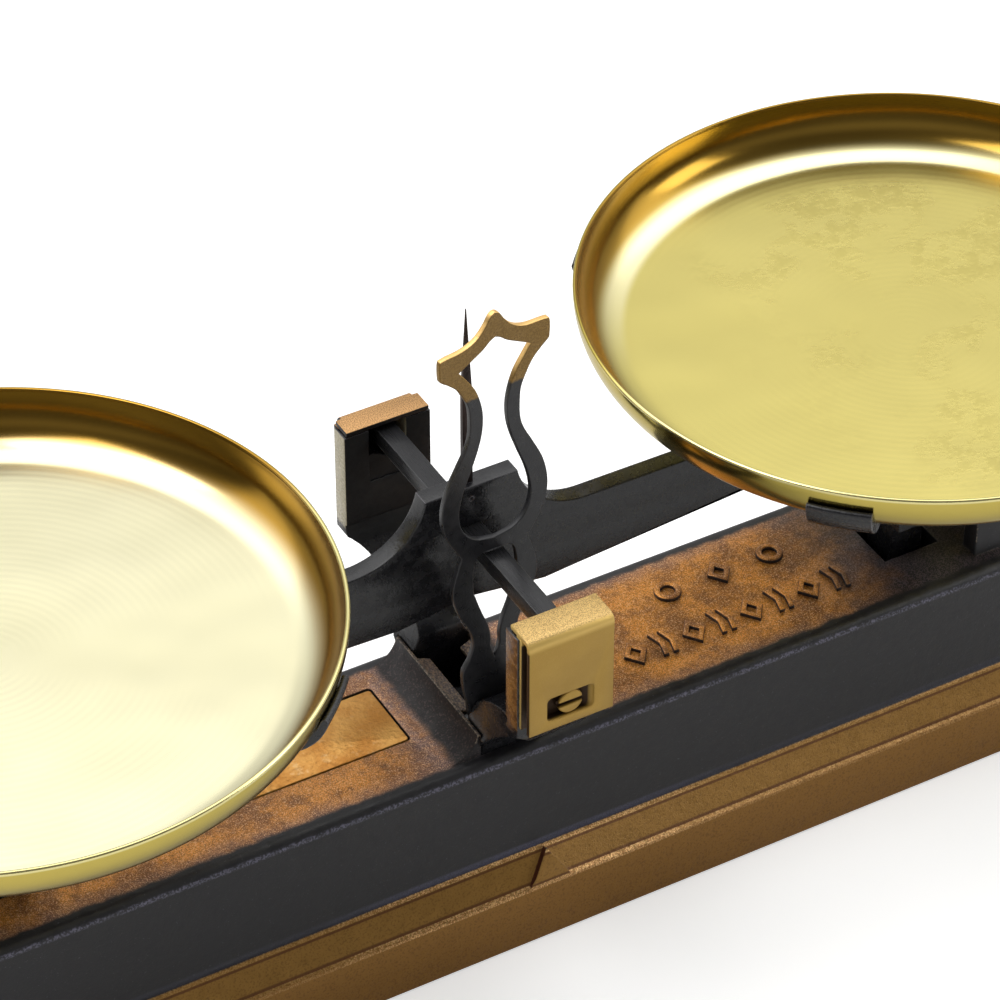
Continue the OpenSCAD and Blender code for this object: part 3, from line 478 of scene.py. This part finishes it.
# The band's two edges carry a pale line, partly rubbed paint and partly a painted highlight, with a line of painted
# shade beside each, under the upper edge and in the crease at the band's foot
wear = enamel.ramp(enamel.add(middle, enamel.times(drift, 4)), 62, 26, 0.3, 1)
upper_line = enamel.span(enamel.z, 25.5, 25.7, 26.35, 26.5)
below_line = enamel.span(enamel.z, 24.7, 25.0, 25.4, 25.6)
foot_line = enamel.span(enamel.z, 17.55, 17.7, 18.2, 18.7)
lower_line = enamel.span(enamel.z, 16.2, 16.5, 17.6, 17.75)
painted_shade = enamel.times(enamel.math("MAXIMUM", below_line, foot_line), 0.75)
colour = enamel.blend(painted_shade, colour, srgb(92, 50, 28))
flaked = enamel.ramp(flecks, 0.36, 0.56, 0.25, 1)
flakes_and_highlight = enamel.blend(enamel.ramp(grain, 0.4, 0.6), srgb(178, 124, 70), srgb(244, 200, 136))
lines = enamel.times(enamel.add(upper_line, lower_line, True), flaked, wear)
colour = enamel.blend(enamel.times(lines, enamel.ramp(shaded_flanks, 1, 0)), colour, flakes_and_highlight)
# A speckled, painted bluish highlight on the fillet above the band and along the top's rounded edge; bare iron on
# the lips
fillet_highlight = enamel.times(enamel.span(enamel.z, 26.35, 26.6, 27.6, 28.4), enamel.ramp(grain, 0.35, 0.6, 0.5, 1), wear)
colour = enamel.blend(fillet_highlight, colour, srgb(68, 67, 86))
edge_highlight = enamel.times(enamel.span(enamel.z, 53.2, 53.9, 54.4, 55.0), enamel.ramp(side, 21.6, 22.4),
                         enamel.ramp(patch, 0.35, 0.6, 0.35, 1), enamel.ramp(flecks, 0.4, 0.64, 0.1, 0.9))
colour = enamel.blend(edge_highlight, colour, srgb(116, 114, 134))
lip_edge = enamel.times(near_edge, enamel.ramp(enamel.z, 60, 61), enamel.ramp(flecks, 0.42, 0.6, 0.1, 0.9))
colour = enamel.blend(lip_edge, colour, srgb(190, 170, 146))
metal = enamel.add(enamel.times(bronzed, 0.5), enamel.ramp(enamel.z, 26.7, 26.2, 0, 0.45), True)
dullness = enamel.add(enamel.ramp(patch, 0.3, 0.7, 0.32, 0.48), enamel.times(slope, 0.2))
enamel.set(Base_Color=colour, Metallic=metal, Roughness=dullness)
enamel.bump(enamel.add(enamel.times(grain, 0.25), patch), 0.2, rounded)
finish_piece(casting, enamel.material, "base", "black_paint", "base_casting")

# Marks: two rows of plain raised lozenges, chevrons and rings, cast in one with the base top
# and painted with it.
marks = []


def lozenge(x, y):
    marks.append([[(x, y - 4.4), (x + 3.3, y), (x, y + 4.4), (x - 3.3, y)],
                  [(x, y - 2), (x + 1.5, y), (x, y + 2), (x - 1.5, y)]])


def chevrons(x, y):
    for left in (x - 1.9, x + 0.9):
        marks.append([[(left - 0.7, y - 4.2), (left + 0.7, y - 4.2), (left + 1.9, y), (left + 0.7, y + 4.2),
                       (left - 0.7, y + 4.2), (left + 0.4, y)]])


def ring(x, y):
    marks.append([arc(x, y, 3.5, 0, 345, 23), arc(x, y, 1.9, 0, 345, 23)])


for i in range(8):
    (chevrons if i % 2 else lozenge)(43 + 8.4 * i, -7.6)
for i in range(3):
    (lozenge if i == 1 else ring)(62 + 15 * i, 8.6)


def sheet_shape(name, loops, thickness, rounding, lay):
    """A flat shape with holes, of the given thickness, with rounded edges, laid by a matrix in millimetres."""
    outline = bpy.data.curves.new(name, "CURVE")
    outline.dimensions = "2D"
    outline.fill_mode = "BOTH"
    outline.extrude = thickness / 2 - rounding
    outline.bevel_depth = rounding
    outline.bevel_resolution = 2
    outline.offset = -rounding
    for loop in loops:
        spline = outline.splines.new("POLY")
        spline.points.add(len(loop) - 1)
        spline.use_cyclic_u = True
        for point, (x, y) in zip(spline.points, loop):
            point.co = (x, y, 0, 1)
    holder = bpy.data.objects.new(name, outline)
    scene.collection.objects.link(holder)
    bpy.context.view_layer.update()
    mesh = bpy.data.meshes.new_from_object(holder.evaluated_get(bpy.context.evaluated_depsgraph_get()))
    bpy.data.objects.remove(holder)
    mesh.transform(Matrix.Scale(0.001, 4) @ lay)
    mesh.name = name
    piece = bpy.data.objects.new(name, mesh)
    scene.collection.objects.link(piece)
    return smooth(piece)


for number, loops in enumerate(marks):
    mark = sheet_shape("mark_%02d" % number, loops, 2.2, 0.4, Matrix.Translation((0, 0, base_top)))
    finish_piece(mark, enamel.material, "base", "black_paint")

# Adjusting plate: a thin sheet let into the base top over the lead that evens the arms,
# bronzed with the base and left with an open joint all round.
plate = stack("adjusting_plate_sheet", [rounded_loop(22.4, 10.1, 0.8, z, -42.4, 3.4) for z in (54, base_top)])
round_edges(plate, 0.22)
gilt = Finish("bronzed_sheet")
cloud = gilt.noise(11, 4, 0.6)
patch = gilt.noise(1.1, 3)
near_edge, rounded = gilt.edges(0.4)
colour = gilt.blend(gilt.ramp(cloud, 0.3, 0.7), srgb(212, 144, 62), srgb(240, 182, 98))
colour = gilt.blend(gilt.ramp(gilt.noise(5, 4, 0.7, shift=2), 0.55, 0.72, 0, 0.6), colour, srgb(250, 216, 156))
colour = gilt.blend(gilt.ramp(patch, 0.56, 0.7, 0, 0.3), colour, srgb(170, 110, 50))
colour = gilt.blend(gilt.times(near_edge, 0.5), colour, srgb(120, 84, 40))
gilt.set(Base_Color=colour, Metallic=0.6, Roughness=gilt.ramp(patch, 0.3, 0.7, 0.34, 0.5))
gilt.bump(gilt.add(gilt.times(cloud, 3), patch), 0.15, rounded)
finish_piece(plate, gilt.material, "base", "plate_paint", "adjusting_plate")

# Pillars: two iron castings screwed into the well from inside, waisted, leaning out to the
# housings at their heads. Smooth black enamel, glossier than the base.
gloss = Finish("black_enamel")
patch = gloss.noise(2.6, 4, 0.6)
fine = gloss.noise(0.5, 2)
near_edge, rounded = gloss.edges(0.5)
black = gloss.blend(patch, srgb(21, 21, 23), srgb(33, 33, 36))
black = gloss.blend(gloss.times(near_edge, gloss.ramp(patch, 0.45, 0.7, 0, 0.5)), black, srgb(104, 100, 98))
# The left flanks of the two housings were caught by the gold; the rear one is painted pale as if lit, the front one
# brown as painted shade
flank = gloss.times(gloss.ramp(gloss.rightward, -0.7, -0.9), gloss.ramp(gloss.z, 84, 86),
                    gloss.ramp(gloss.math("ABSOLUTE", gloss.y), 38.6, 39.6))
lit_rear_flank = gloss.blend(gloss.ramp(fine, 0.4, 0.6), srgb(176, 168, 142), srgb(190, 182, 156))
shaded_front_flank = gloss.blend(gloss.ramp(patch, 0.35, 0.6), srgb(88, 56, 30), srgb(128, 88, 44))
black = gloss.blend(flank, black, gloss.blend(gloss.ramp(gloss.y, -1, 1), shaded_front_flank, lit_rear_flank))
# A painted grey highlight along the edges at the housings' tops
rim_highlight = gloss.times(near_edge, gloss.ramp(gloss.z, 112.2, 112.8), 0.7)
black = gloss.blend(rim_highlight, black, srgb(128, 124, 132))
# The rear housing's inner face is made darker and more matt
darkened_face = gloss.times(gloss.ramp(gloss.y, 12, 14), gloss.ramp(gloss.backward, -0.4, -0.8),
                    gloss.ramp(gloss.z, 80, 84))
black = gloss.blend(gloss.times(darkened_face, 0.7), black, srgb(20, 20, 21))
gloss.set(Base_Color=black,
          Roughness=gloss.add(gloss.ramp(patch, 0.3, 0.7, 0.18, 0.34), gloss.times(darkened_face, 0.35)))
gloss.bump(gloss.add(patch, gloss.times(fine, 0.3)), 0.12, rounded)


def ease(t):
    return (1 - math.cos(math.pi * t)) / 2


def pillar(name, side):
    """Leans away from the middle, to the front for side -1 and to the rear for side 1."""
    def block(name, x, half_width, near, far, low, high):
        y0, y1 = sorted((side * near, side * far))
        return box(name, x - half_width, x + half_width, y0, y1, low, high)

    count = 14
    lean = [(13.6, 36.5), (19.57, 36.5), (19.57, 56.03), (20.5, 56.03)]
    lean += [(20.5 + 24.2 * ease(i / count), 57.2 + 26.3 * i / count) for i in range(count + 1)]
    lean += [(44.7, 113.1), (39.3, 113.1), (39.3, 86.0)]
    lean += [(13.6 + 26.4 * ease(i / count), 65.5 + 19.9 * i / count) for i in range(count, -1, -1)]
    if side < 0:
        lean = [(-y, z) for y, z in lean]
    body = prism(name, lean, -11.8, 11.8, "x")
    waist = arc(19.3, 70.9, 14, 90, 270, 20)
    cuts = [prism("waist", [(s * x, z) for x, z in waist] + [(s * 25, 56.9), (s * 25, 84.9)], 0, side * 50)
            for s in (1, -1)]
    cuts += [block("tongue", s * 10, 2.4, 13, 21, 30, 63.5) for s in (1, -1)]
    cuts += [block("foot", s * 10.75, 2.25, 12, 50, 29, 66) for s in (1, -1)]
    cuts.append(block("notch", 0, 5.1, 38, 46, 97, 115))
    combine(body, cuts, "DIFFERENCE")
    return round_edges(body, 0.4)


for name, side in (("front_pillar", -1), ("rear_pillar", 1)):
    finish_piece(pillar(name + "_casting", side), gloss.material, "base", "black_paint", name)

# Bearings, pins and screws: ground and turned steel with a fine grain. The bearing blocks of
# the two housings were blackened with them.
steel = Finish("ground_steel")
scratch = steel.noise(0.35, 3, 0.6, (1, 0.08, 1))
tone = steel.noise(4, 3)
near_edge, rounded = steel.edges(0.25)
colour = steel.blend(tone, srgb(120, 120, 124), srgb(170, 170, 174))
colour = steel.blend(steel.times(near_edge, 0.5), colour, srgb(210, 210, 214))
steel.set(Base_Color=colour, Metallic=1.0, Roughness=steel.ramp(scratch, 0.3, 0.7, 0.25, 0.45))
steel.bump(scratch, 0.03, rounded)


def coat_solids(material, *nodes):
    for node in nodes:
        coat(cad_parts[node], material)


coat_solids(steel.material, "front_pillar_screws", "rear_pillar_screws", "index_frame_screws",
            "stay_bracket_screws", "stay_centre_pin", "left_stay_pin", "right_stay_pin",
            "left_end_knife", "right_end_knife", "left_carrier_bearings", "right_carrier_bearings")
coat_solids(gloss.material, "front_bearing", "rear_bearing")

# End plates and covers: gold bronzed sheet. The end plate limits the knife bar's end play; the
# front cover is bent over it with a pocket pressed in for its screw, the rear one is a plain cap.
gold = Finish("gold_bronze_paint")
fine = gold.noise(0.24, 1)
tone = gold.noise(6, 3)
near_edge, rounded = gold.edges(0.5)
depth = gold.math("ABSOLUTE", gold.y)
colour = gold.blend(tone, srgb(174, 138, 62), srgb(192, 155, 74))
colour = gold.blend(gold.ramp(fine, 0.5, 0.7, 0, 0.3), colour, srgb(214, 180, 106))
# The bend at the top gets a painted highlight, and the paint on the flange behind it is speckled
colour = gold.blend(gold.ramp(gold.z, 111.4, 113.2, 0, 0.85), colour, srgb(232, 196, 112))
speckled = gold.blend(gold.ramp(fine, 0.34, 0.62), srgb(176, 140, 84), srgb(234, 200, 130))
colour = gold.blend(gold.ramp(gold.z, 114.1, 114.6), colour, speckled)
colour = gold.blend(gold.times(near_edge, gold.ramp(gold.z, 112.5, 111.5, 0, 0.35)), colour, srgb(120, 88, 38))
# Painted shade in the pocket, least on its right wall
painted_shade = gold.times(gold.ramp(depth, 49.1, 48.2), gold.ramp(gold.z, 104, 100), gold.ramp(gold.x, 5.6, 4.4, 0.35, 0.92))
colour = gold.blend(painted_shade, colour, srgb(40, 30, 17))
# The sheets' left edges and the gap between them are painted brown as painted shade, but for the end plate's edge,
# which gets a painted highlight
left_edge = gold.times(gold.ramp(gold.rightward, -0.6, -0.9), gold.ramp(gold.x, -9, -10))
colour = gold.blend(gold.times(left_edge, gold.ramp(depth, 45.68, 45.6)), colour, srgb(232, 198, 116))
gap = gold.span(depth, 45.65, 45.68, 48.15, 48.25)
edge_and_gap_shade = gold.times(gold.math("MAXIMUM", left_edge, gap), gold.ramp(gold.z, 112.2, 111.6),
                   gold.ramp(depth, 45.6, 45.68))
colour = gold.blend(edge_and_gap_shade, colour, srgb(62, 42, 22))
gold.set(Base_Color=colour, Metallic=0.55, Roughness=gold.ramp(fine, 0.3, 0.7, 0.36, 0.55))
gold.bump(fine, 0.05, rounded)
# The rear sheets are black and only their upper faces took a more coppery paint
copper = Finish("copper_bronze_cap")
fine = copper.noise(0.28, 1)
rounded = copper.edges(0.3)[1]
lit = copper.ramp(copper.up, 0.5, 0.8)
colour = copper.blend(copper.ramp(fine, 0.34, 0.64), srgb(150, 108, 66), srgb(216, 170, 112))
colour = copper.blend(lit, srgb(24, 22, 22), colour)
copper.set(Base_Color=colour, Metallic=copper.times(lit, 0.5), Roughness=copper.ramp(fine, 0.3, 0.7, 0.36, 0.52))
copper.bump(fine, 0.06, rounded)
bend_z = 112.6
screw_z = 92.6


def front_cover():
    bend_y = 47.2
    section = [(-48.1, 86.4), (-49.4, 86.4)] + [(-y, z) for y, z in arc(bend_y, bend_z, 2.2, 0, 90, 8)]
    section += [(-40.6, 114.8), (-40.6, 113.5)] + [(-y, z) for y, z in arc(bend_y, bend_z, 0.9, 90, 0, 6)]
    body = prism("front_cover_sheet", section, -11.3, 11.3, "x")
    combine(body, [box("walls", -7.5, 7.5, -48.3, -45.7, 88, 97.2)], "UNION")
    # The pocket's right wall slopes out, its others are square
    left = 6.4
    pocket = [[(x, y, z) for x, z, _ in rounded_loop((right + left) / 2, 3.5, 1.3, 0, (right - left) / 2, screw_z)]
              for y, right in ((-46.9, 3.4), (-49.0, 6.0), (-50.5, 6.4))]
    combine(body, [stack("pocket", pocket)], "DIFFERENCE")
    return round_edges(body, 0.22)


def rear_cover():
    section = [(45.7, 86.4), (47, 86.4)] + arc(44.8, bend_z, 2.2, 0, 90, 8)
    section += [(43.8, 114.8), (43.8, 113.5), (45.7, 113.5)]
    body = prism("rear_cover_sheet", section, -9.8, 9.8, "x")
    combine(body, [box("cap", -11.3, 11.3, 39.1, 44.8, 113.5, 114.8)], "UNION")
    return round_edges(body, 0.18)


def end_plate(name, side):
    section = [(44.7, 86), (45.7, 86), (45.7, 113.1), (45.4, 113.4), (43.3, 113.4), (43.3, 113.1), (44.7, 113.1)]
    body = prism(name, [(side * y, z) for y, z in section], -11.3, 11.3, "x")
    return round_edges(body, 0.12)


def cover_screw(name, side, seat, height):
    rings = [(0.05, 0), (3.2, 0), (3.3, 0.2), (3.3, height - 0.5), (3.15, height - 0.15), (2.8, height),
             (0.05, height)]
    turns = [t * math.pi / 24 for t in range(48)]
    head = stack(name, [[(r * math.cos(t), side * (seat + y), screw_z + r * math.sin(t)) for t in turns]
                        for r, y in rings])
    y0, y1 = sorted((side * (seat + height - 1.2), side * (seat + height + 1)))
    combine(head, [box("slot", -4, 4, y0, y1, 91.9, 93.3)], "DIFFERENCE")
    return round_edges(head, 0.12)


for piece, paint, node in (
        (end_plate("front_end_plate_sheet", -1), gold, "front_end_plate"),
        (end_plate("rear_end_plate_sheet", 1), copper, "rear_end_plate"),
        (front_cover(), gold, "front_cover"),
        (rear_cover(), copper, "rear_cover"),
        (cover_screw("front_cover_screw_head", -1, 46.9, 2.2), gold, "front_cover_screw"),
        (cover_screw("rear_cover_screw_head", 1, 47, 1.8), copper, "rear_cover_screw")):
    finish_piece(piece, paint.material, "base", "gold_paint", node)


# Index frame: a flat lyre-shaped casting before the pointer, enamelled black, its crown dipped
# in gold bronze paint. Two screws from behind hold its foot to the front pillar.
def spline(points, steps):
    curve = []
    for i in range(len(points) - 1):
        p = [points[max(i - 1, 0)], points[i], points[i + 1], points[min(i + 2, len(points) - 1)]]
        for j in range(steps):
            t = j / steps
            curve.append(tuple(0.5 * (2 * b + (c - a) * t + (2 * a - 5 * b + 4 * c - d) * t * t
                                      + (3 * b - a - 3 * c + d) * t ** 3) for a, b, c, d in zip(*p)))
    return curve + [points[-1]]


def both_sides(half):
    return half + [(-x, z) for x, z in reversed(half) if x > 0.001]


# Right halves of the outline, the sight and the ring round the knife bar, from the top down;
# heights are measured from the knife's edge
knife_z = 103.2
outline = [(0, 78.9), (1.2, 78.2), (2.5, 76.1), (4, 74.2), (5.6, 72.9), (7.5, 72), (9.8, 71.5),
           (13.9, 71.2), (15.1, 70.4), (15.1, 66), (14.6, 65), (12.9, 63.6), (10.5, 61.2), (8.8, 58.2),
           (7.3, 54.6), (6.9, 50.6), (7, 46), (8, 42.3), (10.3, 37.6), (12.9, 31.8), (14.1, 26),
           (13.8, 20.6), (12.2, 16), (9.6, 11.3), (9, 9.8), (9.8, 7.3), (11.2, 1.8), (11.2, -2.2),
           (9.4, -8.2), (7, -12.7), (5.9, -17.7), (7, -22.2), (8.8, -25.7), (8.6, -31.2), (7.6, -36.2),
           (7.2, -39.6), (6, -44), (3.4, -48), (0, -49.2)]
sight = spline([(0, 71.9), (1.4, 71.2), (3.3, 69.6), (6.2, 67.9), (9.9, 65.8)], 6)[:-1] + spline(
    [(9.9, 65.8), (7.8, 62.9), (5.7, 59.6), (4.3, 56), (3.4, 51.5), (3.5, 46.5), (4.5, 41.8),
     (6.3, 36.3), (8.4, 30.3), (9.5, 24.8), (9.2, 20.3), (7.5, 16.6), (4.5, 14.2), (0, 13.2)], 6)
knife_ring = spline([(0, 9.8), (4.1, 9.3), (5.6, 5.8), (5.8, -0.7), (5, -4.2), (3.4, -9.2),
                     (1.9, -13.2), (1.2, -17.2), (1.2, -20.2), (0, -24.2)], 6)


def stood_up(y):
    """Turns a flat shape upright, with its origin on the knife's edge and its middle at y."""
    return Matrix(((1, 0, 0, 0), (0, 0, -1, y), (0, 1, 0, knife_z), (0, 0, 0, 1)))


lyre = sheet_shape("index_frame_casting", [both_sides(spline(outline, 6)), both_sides(sight),
                                           both_sides(knife_ring)], 1.5, 0.2, stood_up(-12.85))
# The crown has been sprung round a little, its left horn towards the front
middle_y = -0.01285
for vertex in lyre.data.vertices:
    turn = math.radians(5.4) * ease(min(max((vertex.co.z - 0.118) / 0.04, 0), 1))
    x, y = vertex.co.x, vertex.co.y - middle_y
    vertex.co.x = x * math.cos(turn) - y * math.sin(turn)
    vertex.co.y = x * math.sin(turn) + y * math.cos(turn) + middle_y
dipped = Finish("dipped_enamel")
patch = dipped.noise(2.4, 4, 0.6)
fine = dipped.noise(0.4, 2)
near_edge, rounded = dipped.edges(0.35)
gilded = dipped.ramp(dipped.add(dipped.z, dipped.times(patch, 2)), 160.4, 161.4)
black = dipped.blend(patch, srgb(28, 28, 30), srgb(40, 40, 43))
# A painted grey highlight along the black's edges
black = dipped.blend(dipped.times(near_edge, 0.25), black, srgb(110, 108, 116))
yellow = dipped.blend(dipped.ramp(fine, 0.35, 0.65), srgb(124, 96, 50), srgb(146, 116, 64))
yellow = dipped.blend(dipped.times(near_edge, 0.6), yellow, srgb(132, 78, 40))
# The crown's upward faces are painted pale, a painted highlight
yellow = dipped.blend(dipped.ramp(dipped.up, 0.35, 0.6), yellow, srgb(250, 204, 128))
dipped.set(Base_Color=dipped.blend(gilded, black, yellow), Metallic=dipped.times(gilded, 0.6),
           Roughness=dipped.ramp(patch, 0.3, 0.7, 0.26, 0.42))
dipped.bump(dipped.add(patch, dipped.times(fine, 0.5)), 0.1, rounded)
finish_piece(lyre, dipped.material, "base", "black_paint", "index_frame")

# Works in the base: the bracket under the top and the stay that keeps the pans level, plain
# black iron.
coat_solids(gloss.material, "stay_bracket", "lower_stay")

# Beam: a flat iron casting, filed on its faces and enamelled black, with a raised hub that
# takes the centre knife and the pointer. Its outline starts left of the hub, at the underside.
shoulder = arc(31.4, 24.3, 19.4, 270, 191.9, 18)
eye = [(arm + x, z - 4.3) for x, z in arc(0, 0, 8.6, -72, 84, 16)]
outline = [(-20, -16.1), (0, -13.4), (20, -16.1), (arm, -6.8)] + eye + [(31.4, 4.9)] + shoulder
outline += [(-x, z) for x, z in reversed(shoulder)] + [(-31.4, 4.9)]
outline += [(-x, z) for x, z in reversed(eye)]
bar_section = [(0, 0), (2.6, 4.2), (2.6, 8.8), (-2.6, 8.8), (-2.6, 4.2)]
end_section = [(0, 0), (2.5, -2.75), (2.5, -7), (-2.5, -7), (-2.5, -2.75)]
seats = [bar_section] + [[(side * arm + x, z - 0.8) for x, z in end_section] for side in (1, -1)]
lever = sheet_shape("beam_casting", [outline] + seats, 5, 0.35, stood_up(0))
combine(lever, [box("pointer_slot", -1.33, 1.33, -0.68, 0.68, 116.47, 125),
                prism("rivet_hole", arc(0, 120, 0.68, 0, 345, 23), -3, 3)], "DIFFERENCE")
smooth(lever)
finish_piece(lever, gloss.material, "beam_assembly", "black_paint", "beam")

# Centre knife: a square hardened bar driven through the hub; its lower bevels are ground to
# the edge on which the whole beam rocks.
bar = prism("centre_knife_bar", [(x, z + knife_z) for x, z in bar_section], -44.3, 44.3)
round_edges(bar, 0.16)
tempered = Finish("tempered_steel")
scratch = tempered.noise(0.3, 3, 0.6, (1, 0.06, 1))
patch = tempered.noise(3, 4, 0.6)
near_edge, rounded = tempered.edges(0.3)
ground = tempered.ramp(tempered.z, 107.9, 106.9)
colour = tempered.blend(patch, srgb(28, 28, 30), srgb(44, 44, 46))
colour = tempered.blend(tempered.times(near_edge, 0.6), colour, srgb(150, 150, 152))
colour = tempered.blend(ground, colour, srgb(164, 164, 166))
tempered.set(Base_Color=colour, Metallic=tempered.ramp(ground, 0, 1, 0.3, 1),
             Roughness=tempered.ramp(scratch, 0.3, 0.7, 0.24, 0.4))
tempered.bump(scratch, 0.03, rounded)
finish_piece(bar, tempered.material, "beam_assembly", "steel", "centre_knife")

# Pointer: a narrow steel blade drawn out to a long point behind the crown. It stands in the
# hub's slot, held by a rivet that is filed flush and blackened with the hub.
corners = ((1, 1), (-1, 1), (-1, -1), (1, -1))
blade = stack("pointer_blade", [[(sx * half_width, sy * half_depth, z + knife_z) for sx, sy in corners]
                                for half_width, half_depth, z in (
                                    (1.3, 0.65, 13.33), (1.3, 0.65, 47), (0.12, 0.12, 71))])
round_edges(blade, 0.08)
browned = Finish("browned_steel")
patch = browned.noise(2, 4, 0.6)
scratch = browned.noise(0.3, 3, 0.6, (1, 1, 0.05))
browned.set(Base_Color=browned.blend(patch, srgb(40, 33, 32), srgb(74, 62, 58)), Metallic=0.8,
            Roughness=browned.ramp(scratch, 0.3, 0.7, 0.25, 0.42))
browned.bump(scratch, 0.03)
finish_piece(blade, browned.material, "beam_assembly", "steel", "pointer")
coat_solids(gloss.material, "pointer_rivet")

# Pan carriers: iron spiders that sit on the end knives by a stirrup. Their four arms turn up
# into lugs that hold the pan; the stem goes down through the base to the stay.
coat_solids(gloss.material, "left_carrier", "right_carrier")


# Pans: spun from sheet brass, with a rounded corner and a wired bead along the rim. They lie
# loose between the lugs. The right one's lacquer has gone mottled.
def pan_sheet(name, x):
    corner_x, corner_z = 69.05, 133.9
    profile = [(0.4, 120.5), (30, 120.5), (60, 120.5), (66, 120.5)] + arc(corner_x, corner_z, 13.4, 270, 360, 24)
    profile += arc(81.95, 134.45, 0.55, -30, 210, 12)
    profile += arc(corner_x, corner_z, 12.4, 360, 270, 24) + [(66, 121.5), (60, 121.5), (30, 121.5), (0.4, 121.5)]
    turns = [2 * math.pi * t / 240 for t in range(240)]
    return smooth(stack(name, [[(x + r * math.cos(t), r * math.sin(t), z) for t in turns] for r, z in profile]), 50)


def brass(name, centre, floor_tones, wall_tones, mottling):
    """Brass turned round the pan's centre; mottling is 1 where the lacquer has gone, 0 where it is sound."""
    metal = Finish(name)
    across = metal.math("SUBTRACT", metal.x, centre)
    radius = metal.math("SQRT", metal.add(metal.times(across, across), metal.times(metal.y, metal.y)))
    cloud = metal.noise(30, 3, 0.5)
    bloom = metal.noise(5, 6, 0.75, shift=3)
    fine = metal.noise(0.5, 3)
    spots = metal.times(metal.ramp(bloom, 0.4, 0.6), metal.ramp(metal.noise(26, 2, shift=9), 0.42, 0.56), mottling,
                        metal.ramp(radius, 66, 56), metal.ramp(across, -52, -8))
    floor = metal.blend(cloud, *floor_tones)
    floor = metal.blend(metal.times(spots, 0.8), floor, srgb(196, 182, 106))
    # The wall is painted darker inside than outside, a painted reflection of the dim room it mirrors
    outward = metal.math("DIVIDE", metal.add(metal.times(metal.rightward, across),
                                             metal.times(metal.backward, metal.y)), radius)
    wall = metal.blend(metal.ramp(outward, -0.05, 0.05), metal.blend(cloud, *wall_tones), srgb(200, 180, 92))
    colour = metal.blend(metal.ramp(radius, 72, 78), floor, wall)
    # The corner at the rear and the bead at the front get a painted highlight, pale as the bright light they mirror
    corner_highlight = metal.times(metal.span(radius, 68.6, 71.2, 73.5, 77), metal.ramp(metal.y, 14, 64))
    colour = metal.blend(corner_highlight, colour, srgb(251, 242, 192))
    bead_highlight = metal.times(metal.ramp(metal.z, 133.9, 134.2), metal.ramp(metal.y, 16, -20))
    colour = metal.blend(bead_highlight, colour, srgb(240, 228, 160))
    metal.set(Base_Color=colour, Metallic=1.0,
              Roughness=metal.add(metal.ramp(radius, 66, 74, 0.23, 0.19), metal.times(spots, 0.1)))
    # Faint rings from spinning, the slight waviness of thin sheet, and the crust of the spots
    rings = metal.times(metal.math("SINE", metal.times(radius, 3.1)), 0.012)
    waves = metal.times(metal.noise(60, 2), 6)
    crust = metal.add(metal.times(bloom, spots, 0.22), metal.times(fine, 0.02))
    metal.bump(metal.add(metal.add(waves, rings), crust), 0.12)
    return metal.material


# The left pan's floor is painted paler than the right one's, a painted reflection of the bright light over it
painted_reflection_brass = brass("painted_reflection_brass", -arm, (srgb(234, 228, 188), srgb(240, 234, 198)),
                   (srgb(148, 112, 42), srgb(172, 134, 56)), 0.0)
mottled_brass = brass("mottled_brass", arm, (srgb(218, 203, 120), srgb(225, 210, 128)),
                      (srgb(152, 118, 46), srgb(176, 140, 60)), 1.0)
for side, x, material in (("left", -arm, painted_reflection_brass), ("right", arm, mottled_brass)):
    finish_piece(pan_sheet(side + "_pan_spinning", x), material, side + "_loose_pan", "pan_brass", side + "_pan")
